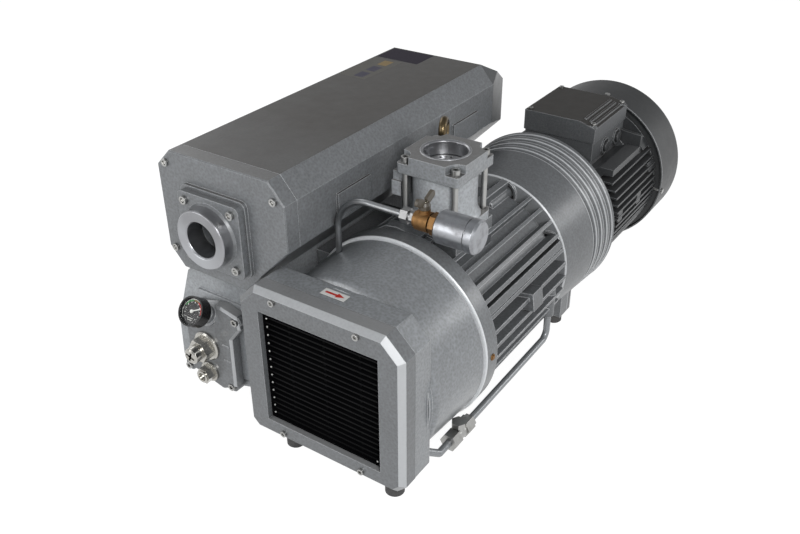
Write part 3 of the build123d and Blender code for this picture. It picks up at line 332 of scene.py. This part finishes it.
casting = hammered("casting_enamel", 0.138, top_dust_and_shade=0.7, top_dust_and_shade_tone=2.0, facets=0.9)
plate_paint = hammered("front_plate_enamel", 0.16, bands=PLATE_BANDS)
drum_paint = hammered("drum_enamel", 0.23, top_dust_and_shade=0.0, rough=0.34, edge_round=0.0020, edge_level=0.75,
                      bands=DRUM_BANDS)
bell_paint = hammered("bell_enamel", 0.140, top_dust_and_shade=0.10, edge_round=0.0024, edge_level=0.80, coat=0.12,
                      bands=BELL_BANDS)
sump_paint = hammered("sump_enamel", 0.31, top_dust_and_shade=0.10)
inlet_paint = hammered("inlet_enamel", 0.36, top_dust_and_shade=0.85)
inlet_ring = hammered("inlet_flange_enamel", 0.25, top_dust_and_shade=0.75, bare=INLET_MOUTH)
exhaust_paint = hammered("exhaust_flange_enamel", 0.16, bare=EXHAUST_COLLAR)
box_paint = hammered("exhaust_box_enamel", 0.155, top_dust_and_shade=1.1, top_dust_and_shade_tone=0.28, rear=0.8,
                     bands=BOX_REAR_SHADE)
cover_paint = hammered("cover_enamel", 0.155, top_dust_and_shade=0.55, top_dust_and_shade_tone=0.55)
motor_paint = hammered("motor_enamel", 0.050, top_dust_and_shade=0.25, dimple=0.00004, cell=600.0, rough=0.46,
                       coat=0.1, edge_gain=0.7, edge_level=0.30)
cowl_paint = hammered("motor_cowl_enamel", 0.032, top_dust_and_shade=0.25, dimple=0.00003, cell=600.0, rough=0.46,
                      coat=0.06, edge_round=0.0022, edge_level=0.38, bands=COWL_BANDS)
lid_paint = hammered("motor_lid_enamel", 0.095, top_dust_and_shade=1.2, top_dust_and_shade_tone=0.30, dimple=0.00006, cell=500.0,
                     rough=0.55, coat=0.03, edge_round=0.0020, edge_level=0.42)
pipe_paint = hammered("pipe_enamel", 0.24, top_dust_and_shade=0.1, dimple=0.00003, cell=900.0, rough=0.32,
                      metal=0.4)
terminal_paint = hammered("terminal_enamel", 0.085, top_dust_and_shade=1.0, top_dust_and_shade_tone=0.4, dimple=0.00005,
                          cell=550.0, rough=0.5, coat=0.05, edge_round=0.0020, edge_level=0.42)
print("Materials so far:", len(bpy.data.materials), "bands on the bell:", len(BELL_BANDS))

# %% [markdown]
# ## Bare metals
# Bare steel, aluminium and brass differ mostly in colour and in the marks that their making left.
# Turning leaves fine rings round an axis, drawing leaves lines along a tube, sand casting leaves a
# rough skin. One function makes the metal and takes the direction of the marks as a stretch of the
# noise: large numbers squeeze the marks together.

# %% Metals with tool marks

METAL_EDGE = 0.0005
METAL_CREASE_SHADE_REACH = 0.004
METAL_CREASE_SHADE = (0.02, 0.017, 0.014, 1.0)


def metal(name, colour, rough, marks=(1.0, 1.0, 1.0), scale=400.0, depth=0.00002, stain=0.25,
          stain_colour=(0.12, 0.10, 0.08, 1.0)):
    look = Look(bpy.data.materials.new(name))
    soft = look.soft_edges(METAL_EDGE)
    edge = look.edge_mask(soft)
    stretched = look.node("ShaderNodeVectorMath", {"operation": "MULTIPLY"},
                          {0: look.place(), 1: marks})
    lines = look.noise(scale, 3.0, stretched)
    cloud = look.noise(70.0, 4.0)
    stained = (cloud - 0.45).over(0.0, 0.3) * stain
    base = look.mix(stained, colour, stain_colour)
    # painted shade in corners and sockets
    base = look.mix(look.creases(METAL_CREASE_SHADE_REACH) * 0.85, base, METAL_CREASE_SHADE)
    # painted highlight on the rounded edges
    base = look.mix(edge * 0.4, base, scaled(colour, 1.3))
    roughness = rough + (lines - 0.5) * 0.25 + stained * 0.3
    return look.finish(base_color=base, metallic=1.0, roughness=roughness,
                       normal=look.bump(lines, depth, 0.6, soft))


zinc = metal("zinc_plated_steel", (0.40, 0.40, 0.39, 1), 0.33, scale=600.0)
tube_steel = metal("drawn_tube_steel", (0.30, 0.31, 0.32, 1), 0.38, marks=(1, 1, 0.1), stain=0.2)
ground = metal("ground_steel", (0.52, 0.52, 0.52, 1), 0.28, marks=(0.1, 8, 0.1))
bright = metal("bright_nickel", (0.45, 0.44, 0.41, 1), 0.2, depth=0.000008, stain=0.35)
turned = metal("turned_aluminium", (0.33, 0.34, 0.36, 1), 0.32, marks=(12, 0.3, 0.3), depth=0.00006,
               stain=0.5, stain_colour=(0.13, 0.12, 0.12, 1))
screen = metal("stainless_screen", (0.5, 0.5, 0.5, 1), 0.35, scale=900.0)
gilt = metal("yellow_zinc", (0.12, 0.09, 0.05, 1), 0.30, scale=300.0, stain=0.6)
cast_brass = metal("cast_brass", (0.23, 0.125, 0.05, 1), 0.48, scale=900.0, depth=0.0001, stain=0.6,
                   stain_colour=(0.07, 0.045, 0.025, 1))
plated = metal("plated_brass", (0.60, 0.56, 0.46, 1), 0.25)
iron = metal("machined_iron", (0.27, 0.27, 0.27, 1), 0.40, scale=500.0, depth=0.00004)
print("Materials so far:", len(bpy.data.materials))

# %% [markdown]
# ## Rubber, plastic, felt and glass
# The rest is dark and quiet: moulded fan wheels, rubber feet with a dusty bloom, the black cooler
# core, the gauge. Plain black would look like a hole in the picture, so each has a broken surface
# and a little dust. Rubber, plastic and felt differ here only in their colour, gloss and grain.

# %% Dull and dark finishes


def dull(name, colour, rough, grain=500.0, depth=0.00003, bloom=0.15,
         bloom_colour=(0.3, 0.29, 0.27, 1), gloss=0.5):
    look = Look(bpy.data.materials.new(name))
    soft = look.soft_edges(0.0006)
    edge = look.edge_mask(soft)
    fine = look.noise(grain, 4.0)
    cloud = look.noise(25.0, 4.0)
    dusty = (cloud - 0.4).over(0.0, 0.4) * bloom + edge * bloom * 0.8
    base = look.mix(dusty, colour, bloom_colour)
    return look.finish(base_color=base, roughness=rough + (fine - 0.5) * 0.2, specular_ior_level=gloss,
                       normal=look.bump(fine, depth, 0.7, soft))


rubber = dull("foot_rubber", (0.035, 0.035, 0.036, 1), 0.75, bloom=0.2)
seal = dull("seal_rubber", (0.02, 0.02, 0.02, 1), 0.6)
fan_plastic = dull("fan_plastic", (0.025, 0.025, 0.026, 1), 0.5)
core_black = dull("cooler_core_black", (0.003, 0.003, 0.0035, 1), 0.5, bloom=0.005, gloss=0.05)
gauge_black = dull("gauge_black", (0.004, 0.004, 0.0045, 1), 0.25, depth=0.000005, bloom=0.01,
                   gloss=0.25)
needle_white = dull("needle_white", (0.8, 0.8, 0.76, 1), 0.5, bloom=0.0)
handle_dark = dull("handle_dark", (0.045, 0.038, 0.03, 1), 0.38, bloom=0.2,
                   bloom_colour=(0.3, 0.24, 0.15, 1))
fibre = dull("vane_fibre", (0.16, 0.11, 0.06, 1), 0.6, grain=1500.0)
felt = dull("filter_felt", (0.55, 0.53, 0.46, 1), 0.95, grain=800.0, depth=0.0003)


def clear_glass():
    look = Look(bpy.data.materials.new("clear_glass"))
    smear = look.noise(160.0, 3.0)
    return look.finish(base_color=(0.30, 0.31, 0.31, 1),
                       roughness=0.03 + (smear - 0.5).over(0.0, 0.3) * 0.05, alpha=0.025, ior=1.45)


glass = clear_glass()
print("Materials so far:", len(bpy.data.materials))

# %% [markdown]
# ## Finish for each solid
# Each CAD solid keeps its shape and gets its finish by assigning the material slots. The table
# goes by node name, so that a solid without a finish is noticed at once.

# %% Give every CAD node its finish

FINISH = {
    "radiator_frame": casting, "fan_housing": drum_paint, "front_end_plate": plate_paint,
    "pump_cylinder": bell_paint, "bell_housing": bell_paint, "inlet_valve_body": inlet_paint,
    "inlet_flange": inlet_ring, "sump": sump_paint, "oil_block": casting,
    "exhaust_flange": exhaust_paint, "separator_body": box_paint, "separator_cover": cover_paint,
    "motor_flange": motor_paint, "motor_frame": motor_paint, "motor_shield": motor_paint,
    "motor_cowl": cowl_paint, "terminal_box": terminal_paint, "terminal_lid": lid_paint,
    "cable_plugs": motor_paint, "oil_pipe": pipe_paint, "pipe_fittings": zinc,
    "radiator_screws": zinc, "cover_screws": zinc, "flange_screws": zinc, "block_screws": zinc,
    "cowl_screws": zinc, "lid_screws": zinc, "inlet_bolts": zinc, "ballast_nut": iron,
    "ballast_tube": tube_steel, "ballast_valve_body": cast_brass, "ballast_ball": plated,
    "ballast_handle": handle_dark, "ballast_silencer": turned, "inlet_screen": screen,
    "valve_plate": screen, "valve_spring": screen, "lifting_eye": gilt, "filler_plug": bright,
    "drain_plug": bright, "gauge_body": gauge_black, "gauge_needle": needle_white,
    "gauge_glass": glass, "radiator_core": core_black, "cooling_fan": fan_plastic,
    "motor_fan": fan_plastic, "feet": rubber, "shaft_seals": seal, "coupling_spider": seal,
    "vanes": fibre, "exhaust_filters": felt, "float_valve": plated, "pump_rotor": ground,
    "motor_rotor": ground, "pump_bearings": ground, "motor_bearings": ground,
    "rear_end_plate": iron, "pump_coupling": iron, "motor_coupling": iron, "motor_stator": iron,
}
for name, node in nodes.items():
    node.data.materials.clear()
    node.data.materials.append(FINISH[name])
print("Finished nodes:", len(FINISH))

# %% [markdown]
# ## Small pieces
# Some things are too thin or too small for the CAD model: plates stuck on the castings, the print
# on the gauge's dial, rivets, a vent screw. Each is a mesh of its own, made from an outline that is
# raised a little or from a profile that is turned round an axis, written in millimetres.

# %% Mesh helpers


def mm(*numbers):
    return Vector([n * 0.001 for n in numbers])


def placed(origin, outward, across):
    # a frame at the origin: Z outward, X across
    z = Vector(outward).normalized()
    x = (Vector(across) - Vector(across).dot(z) * z).normalized()
    turn = Matrix((x, z.cross(x), z)).transposed().to_4x4()
    return Matrix.Translation(mm(*origin)) @ turn


def raised(outline, low, high, bevel=0.0):
    # a plate between two heights, with its upper edges rounded by the bevel
    work = bmesh.new()
    work.faces.new([work.verts.new(mm(x, y, low)) for x, y in outline])
    made = bmesh.ops.extrude_face_region(work, geom=list(work.faces))
    lifted = [v for v in made["geom"] if isinstance(v, bmesh.types.BMVert)]
    bmesh.ops.translate(work, verts=lifted, vec=mm(0, 0, high - low))
    bmesh.ops.recalc_face_normals(work, faces=list(work.faces))
    if bevel:
        rim = [e for e in work.edges if all(v in lifted for v in e.verts)]
        bmesh.ops.bevel(work, geom=rim, offset=bevel * 0.001, segments=2, affect="EDGES")
    return work


def turned_profile(profile, sides, hoop=False):
    # radius and height pairs turned round Z: a solid, or a hoop whose last pair meets the first
    work = bmesh.new()
    rings = []
    for radius, height in profile:
        angles = [2 * math.pi * i / sides for i in range(sides)]
        rings.append([work.verts.new(mm(radius * math.cos(a), radius * math.sin(a), height))
                      for a in angles])
    pairs = list(zip(rings, rings[1:])) + ([(rings[-1], rings[0])] if hoop else [])
    for lower, upper in pairs:
        for i in range(sides):
            j = (i + 1) % sides
            work.faces.new((lower[i], lower[j], upper[j], upper[i]))
    if not hoop:
        work.faces.new(rings[0][::-1])
        work.faces.new(rings[-1])
    bmesh.ops.recalc_face_normals(work, faces=list(work.faces))
    return work


def add_piece(name, works, frames, finish, body="machine"):
    mesh = bpy.data.meshes.new(name)
    whole = bmesh.new()
    for work, frame_at in zip(works, frames):
        bmesh.ops.transform(work, matrix=frame_at, verts=list(work.verts))
        part = bpy.data.meshes.new("part")
        work.to_mesh(part)
        work.free()
        whole.from_mesh(part)
        bpy.data.meshes.remove(part)
    whole.to_mesh(mesh)
    whole.free()
    mesh.materials.append(finish)
    piece = bpy.data.objects.new(name, mesh)
    bpy.context.scene.collection.objects.link(piece)
    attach(piece, body)
    print("Piece:", name, "faces:", len(mesh.polygons))


def rectangle(left, front, right, back):
    return [(left, front), (right, front), (right, back), (left, back)]


# %% [markdown]
# ## Plates and print
# The plates are thin laminate: a plain dark one and a pale one with three plain patches on the
# exhaust box, and a white one with the arrow for the turning direction on the cooler. They could
# be painted into the enamel, but a raised outline keeps its sharp edge from close by. The layers
# on the exhaust box are thinner than a tenth of a millimetre, because its top is the pump's
# highest face and the dressed pump should keep the CAD model's height.

# %% Plates on the castings

BOX_TOP = 383.5
COOLER_TOP = 264.5
PALE_THICK = 0.06
ARROW_PLATE_THICK = 0.3
PATCH_STEP = 30
AT_ORIGIN = Matrix.Identity(4)


def film(name, colour, rough=0.35):
    look = Look(bpy.data.materials.new(name))
    worn = look.noise(40.0, 4.0)
    fine = look.noise(700.0, 2.0)
    base = look.mix((worn - 0.45).over(0.0, 0.35) * 0.25, colour, scaled(colour, 0.55))
    return look.finish(base_color=base, roughness=rough + (fine - 0.5) * 0.12, specular_ior_level=0.25,
                       normal=look.bump(fine, 0.00001, 0.4))


plum = film("plum_film", (0.010, 0.006, 0.016, 1), 0.6)
pale = film("pale_film", (0.115, 0.11, 0.10, 1), 0.6)
white_film = film("white_film", (0.62, 0.62, 0.60, 1))
red_print = film("red_print", (0.45, 0.03, 0.02, 1))
ochre_print = film("ochre_print", (0.20, 0.13, 0.035, 1))
blue_print = film("blue_print", (0.018, 0.015, 0.04, 1))
green_print = film("green_print", (0.03, 0.22, 0.05, 1))
white_print = film("white_print", (0.70, 0.70, 0.66, 1))


def plate(name, outline, height, thick, finish):
    work = raised(outline, height, height + thick, min(0.12, thick * 0.4))
    add_piece(name, [work], [AT_ORIGIN], finish)


plate("dark_plate", rectangle(-249, 211, -175, 260), BOX_TOP, 0.08, plum)
plate("pale_plate", [(-249, 112), (-202, 112), (-198, 206), (-249, 206)], BOX_TOP, PALE_THICK, pale)
for i, colour in enumerate((blue_print, blue_print, ochre_print)):
    front = 118 + PATCH_STEP * i
    plate("patch_%d" % i, rectangle(-226, front, -210, front + 22), BOX_TOP + PALE_THICK, 0.03, colour)
plate("arrow_plate", rectangle(-18, -234.5, 16.5, -221.5), COOLER_TOP, ARROW_PLATE_THICK, white_film)
ARROW = [(-14, -229.8), (2, -229.8), (2, -232.6), (13, -228), (2, -223.4), (2, -226.2), (-14, -226.2)]
plate("arrow", ARROW, COOLER_TOP + ARROW_PLATE_THICK, 0.06, red_print)

# %% [markdown]
# ## Gauge dial
# The dial is black with eleven white ticks over 270 degrees, a green, a yellow and a red band, a
# white frame and two short white bars. The marks could be a picture on the dial, but thin outlines
# need no image and stay sharp. They lie on the dial's floor, under the needle.

# %% Print on the dial

GAUGE = (-226.6, -211.8, 142.0)
GAUGE_DIR = (0.0, -0.8, 0.6)
DIAL_OUT = 44.5
PRINT_LOW = 0.02
PRINT_HIGH = 0.12
TICKS = 11
FIRST_TICK = 225
TICK_STEP = 27
SCALE_BAND = (13.6, 15.4)
dial_centre = [GAUGE[i] + GAUGE_DIR[i] * DIAL_OUT for i in range(3)]
dial = placed(dial_centre, GAUGE_DIR, (1, 0, 0))


def arc_band(inner, outer, start, end, steps=18):
    angles = [math.radians(start + (end - start) * i / steps) for i in range(steps + 1)]
    return ([(outer * math.cos(a), outer * math.sin(a)) for a in angles]
            + [(inner * math.cos(a), inner * math.sin(a)) for a in reversed(angles)])


def tick(angle, inner, outer, width):
    a = math.radians(angle)
    along = Vector((math.cos(a), math.sin(a)))
    side = Vector((-along.y, along.x)) * width / 2
    return [tuple(along * inner - side), tuple(along * outer - side), tuple(along * outer + side),
            tuple(along * inner + side)]


def dial_marks(name, outlines, finish):
    works = [raised(outline, PRINT_LOW, PRINT_HIGH) for outline in outlines]
    add_piece(name, works, [dial] * len(works), finish)


dial_marks("dial_green", [arc_band(*SCALE_BAND, 100, 160)], green_print)
dial_marks("dial_yellow", [arc_band(*SCALE_BAND, 70, 99)], ochre_print)
dial_marks("dial_red", [arc_band(*SCALE_BAND, -5, 69)], red_print)
ticks = [tick(FIRST_TICK - TICK_STEP * i, 11.4, 13.2, 0.8) for i in range(TICKS)]
dial_marks("dial_ticks", ticks, white_print)
dial_marks("dial_frame", [arc_band(15.9, 16.5, -45, FIRST_TICK, 40)], white_print)
dial_marks("dial_line", [rectangle(-5, -9.5, 5, -8.7), rectangle(-4, -12, 4, -11.2)], white_print)
print("Dial centre:", [round(v, 1) for v in dial_centre])

# %% [markdown]
# ## Rivets and small screws
# A row of rivets holds the cooler's tubes at its left edge. A small brass screw sits in the ring
# of the pump's front plate, and hexagon screws hold the end shield between the motor's lugs. They
# are turned from a profile, with six sides where a spanner fits. A hoop, the end shield's rim,
# fills the mouth of the fan cowl.

# %% Turned small parts

SHAFT_HEIGHT = 142.0
FORWARD = (0, -1, 0)
BACKWARD = (0, 1, 0)
RIGHT = (1, 0, 0)

DOME = [(1.5, -0.6), (1.5, 0.1), (1.35, 0.5), (1.0, 0.85), (0.5, 1.05), (0.1, 1.1)]
CORE_FRONT = -260.5
LEFT_RIVETS = 13
RIVET_STEP = 12.0
rivets = [placed((-81.0, CORE_FRONT, 76.0 + RIVET_STEP * i), FORWARD, RIGHT) for i in range(LEFT_RIVETS)]
rivets.append(placed((78.0, CORE_FRONT, 74.0), FORWARD, RIGHT))
add_piece("core_rivets", [turned_profile(DOME, 16) for _ in rivets], rivets, zinc)


def round_shaft(angle, radius):
    # a point on a circle round the shaft, as X and Z
    a = math.radians(angle)
    return radius * math.cos(a), SHAFT_HEIGHT + radius * math.sin(a)


VENT = [(4.6, -0.5), (4.6, 0.8), (4.2, 1.2), (3.2, 1.2)]
VENT_HEX = [(3.2, 1.0), (3.2, 2.1), (2.9, 2.4), (0.2, 2.4)]
VENT_ANGLE = 2.0
VENT_Y = -91.0
RING_RADIUS = 136.0
vent_x, vent_z = round_shaft(VENT_ANGLE, RING_RADIUS)
vent_out = (vent_x, 0, vent_z - SHAFT_HEIGHT)
vent_place = placed((vent_x, VENT_Y, vent_z), vent_out, BACKWARD)
add_piece("vent_screw", [turned_profile(VENT, 24), turned_profile(VENT_HEX, 6)], [vent_place] * 2,
          cast_brass)

SHIELD_RIM = [(120.6, 0.0), (132.6, 0.0), (133.2, 0.6), (133.2, 3.4), (132.6, 4.0), (120.6, 4.0)]
SHIELD_RIM_Y = 521.5
rim_place = placed((0, SHIELD_RIM_Y, SHAFT_HEIGHT), BACKWARD, RIGHT)
add_piece("shield_rim", [turned_profile(SHIELD_RIM, 96, hoop=True)], [rim_place],
          motor_paint)

BOLT = [(5.6, -0.4), (5.6, 0.9), (5.2, 1.1)]
BOLT_HEX = [(4.9, 0.9), (4.9, 4.6), (4.3, 5.2), (0.2, 5.2)]
BOLT_ANGLES = (17.0, 36.0, 145.0, 215.0, 325.0)
LUG_RADIUS = 112.0
LUG_Y = 489.0
bolt_places = []
for angle in BOLT_ANGLES:
    bolt_x, bolt_z = round_shaft(angle, LUG_RADIUS)
    bolt_places.append(placed((bolt_x, LUG_Y, bolt_z), FORWARD, RIGHT))
bolts = [turned_profile(BOLT, 24) for _ in bolt_places]
bolts += [turned_profile(BOLT_HEX, 6) for _ in bolt_places]
add_piece("shield_bolts", bolts, bolt_places * 2, zinc)
print("Rivets:", len(rivets), "shield bolts:", len(bolt_places))

# %% [markdown]
# ## Floor and world
# The pump was photographed against white. A floor lit until it clips would brighten the object
# too, so the floor and the world look white to the camera and in reflections only, while the floor
# still takes a soft shadow. The world and its reflections are dimmer above and behind, where they
# would grey out the dark tops of the castings.

# %% White floor and world

RAYS = ("Is Camera Ray", "Is Glossy Ray", "Is Transmission Ray")
FLOOR_SIZE = 12.0
FLOOR_GREY = 0.62
FLOOR_GLOW = 1.3
FLOOR_SHARE = 0.72
WORLD_STRENGTH = 0.35
DIMMED_ABOVE = 0.35
DIMMED_BEHIND = 0.3
DIMMED = DIMMED_ABOVE + DIMMED_BEHIND
LESS_REFLECTED_ABOVE = 0.75
LESS_REFLECTED_BEHIND = 0.35
ABOVE = (0.05, 0.65)
BEHIND = (0.0, 0.8)
SKY_TINT = (0.90, 0.95, 1.0, 1)
WHITE = (1, 1, 1, 1)


def ray_kinds(look):
    path = look.node("ShaderNodeLightPath").socket.node
    return [Value(look, path.outputs[key]) for key in RAYS]


def make_floor():
    mesh = bpy.data.meshes.new("floor")
    h = FLOOR_SIZE / 2
    mesh.from_pydata([(-h, -h, 0), (h, -h, 0), (h, h, 0), (-h, h, 0)], [], [(0, 1, 2, 3)])
    floor = bpy.data.objects.new("floor", mesh)
    bpy.context.scene.collection.objects.link(floor)
    look = Look(bpy.data.materials.new("white_floor"))
    paper = look.node("ShaderNodeBsdfDiffuse", None, {"Color": grey(FLOOR_GREY)})
    white = look.node("ShaderNodeEmission", None, {"Color": WHITE, "Strength": FLOOR_GLOW})
    camera_ray, glossy_ray, through_ray = ray_kinds(look)
    factor = look.clamp(camera_ray + glossy_ray + through_ray) * FLOOR_SHARE
    mixed = look.node("ShaderNodeMixShader", None, {0: factor, 1: paper, 2: white})
    look.show(mixed, "ShaderNodeOutputMaterial")
    mesh.materials.append(look.owner)
    return floor


def sky(look, colour, strength):
    return look.node("ShaderNodeBackground", None, {"Color": colour, "Strength": strength})


def make_world():
    world = bpy.data.worlds.new("studio")
    bpy.context.scene.world = world
    look = Look(world)
    direction = look.parts_of(look.node("ShaderNodeTexCoord", output="Generated"))
    above = direction[2].over(*ABOVE)
    behind = direction[1].over(*BEHIND)
    shade = above * (DIMMED_ABOVE / DIMMED) + behind * (DIMMED_BEHIND / DIMMED)
    lit = look.node("ShaderNodeMixShader", None,
                    {0: shade, 1: sky(look, SKY_TINT, WORLD_STRENGTH),
                     2: sky(look, SKY_TINT, WORLD_STRENGTH * (1.0 - DIMMED))})
    camera_ray, glossy_ray, through_ray = ray_kinds(look)
    reflected = glossy_ray * (1.0 - above * LESS_REFLECTED_ABOVE) * (1.0 - behind * LESS_REFLECTED_BEHIND)
    seen = look.clamp(camera_ray + through_ray + reflected)
    mixed = look.node("ShaderNodeMixShader", None, {0: seen, 1: lit, 2: sky(look, WHITE, 1.0)})
    look.show(mixed, "ShaderNodeOutputWorld")
    return world


print("Stage:", make_floor().name, make_world().name)

# %% [markdown]
# ## Lamps
# A bright point of light would draw hard shadows, and small hot spots on the enamel. Four large
# soft discs light the pump instead. The strongest stands in front, to the right of the camera, and
# gives the bright band along the drum. The others lift the left side, the top and the motor.

# %% Four soft lamps

# name, place, point that it is aimed at, width in metres, watts
LAMPS = [
    ("key", (1.9, -1.9, 1.9), (0, 0, 0.15), 1.2, 66),
    ("rim", (2.1, 2.3, 1.05), (0, 0.1, 0.2), 0.9, 14),
    ("fill", (-1.6, -2.4, 1.1), (0, 0, 0.2), 1.8, 26),
    ("back", (-2.4, 0.7, 1.9), (0, 0.1, 0.2), 1.8, 18),
]


def add_lamp(name, place, aim, size, watts):
    data = bpy.data.lights.new(name, "AREA")
    data.shape = "DISK"
    data.size = size
    data.energy = watts
    lamp = bpy.data.objects.new(name, data)
    bpy.context.scene.collection.objects.link(lamp)
    lamp.location = place
    lamp.rotation_euler = (Vector(aim) - Vector(place)).to_track_quat("-Z", "Y").to_euler()


for settings in LAMPS:
    add_lamp(*settings)
print("Lamps:", [settings[0] for settings in LAMPS])

# %% [markdown]
# ## Camera
# The camera's place was worked out from the parallel edges in the photograph: it looks down at 31
# degrees from the front right corner. Its axes are built from azimuth, elevation and a slight roll.

# %% Camera at the photograph's place

IMAGE_WIDTH = 800
FOCAL_PIXELS = 886.7
CAMERA_PLACE = Vector((0.5420, -0.8932, 0.8172))
AZIMUTH, ELEVATION, ROLL = (math.radians(v) for v in (34.2, 31.1, -0.4))


def make_camera():
    data = bpy.data.cameras.new("camera")
    data.sensor_width = 36.0
    data.lens = FOCAL_PIXELS / IMAGE_WIDTH * data.sensor_width
    data.clip_start = 0.01
    camera = bpy.data.objects.new("camera", data)
    bpy.context.scene.collection.objects.link(camera)
    back = Vector((math.sin(AZIMUTH) * math.cos(ELEVATION), -math.cos(AZIMUTH) * math.cos(ELEVATION),
                   math.sin(ELEVATION)))
    level = Vector((math.cos(AZIMUTH), math.sin(AZIMUTH), 0))
    above = back.cross(level)
    right = math.cos(ROLL) * level + math.sin(ROLL) * above
    up = back.cross(right)
    turn = Matrix((right, up, back)).transposed().to_4x4()
    camera.matrix_world = Matrix.Translation(CAMERA_PLACE) @ turn
    bpy.context.scene.camera = camera
    return camera


camera = make_camera()
bpy.context.scene.view_settings.view_transform = "Standard"
print("Camera lens:", round(camera.data.lens, 1), "mm")

# %% [markdown]
# ## The CAD model's box
# The dressed pump should keep to the CAD model's box.

# %% End of the scene
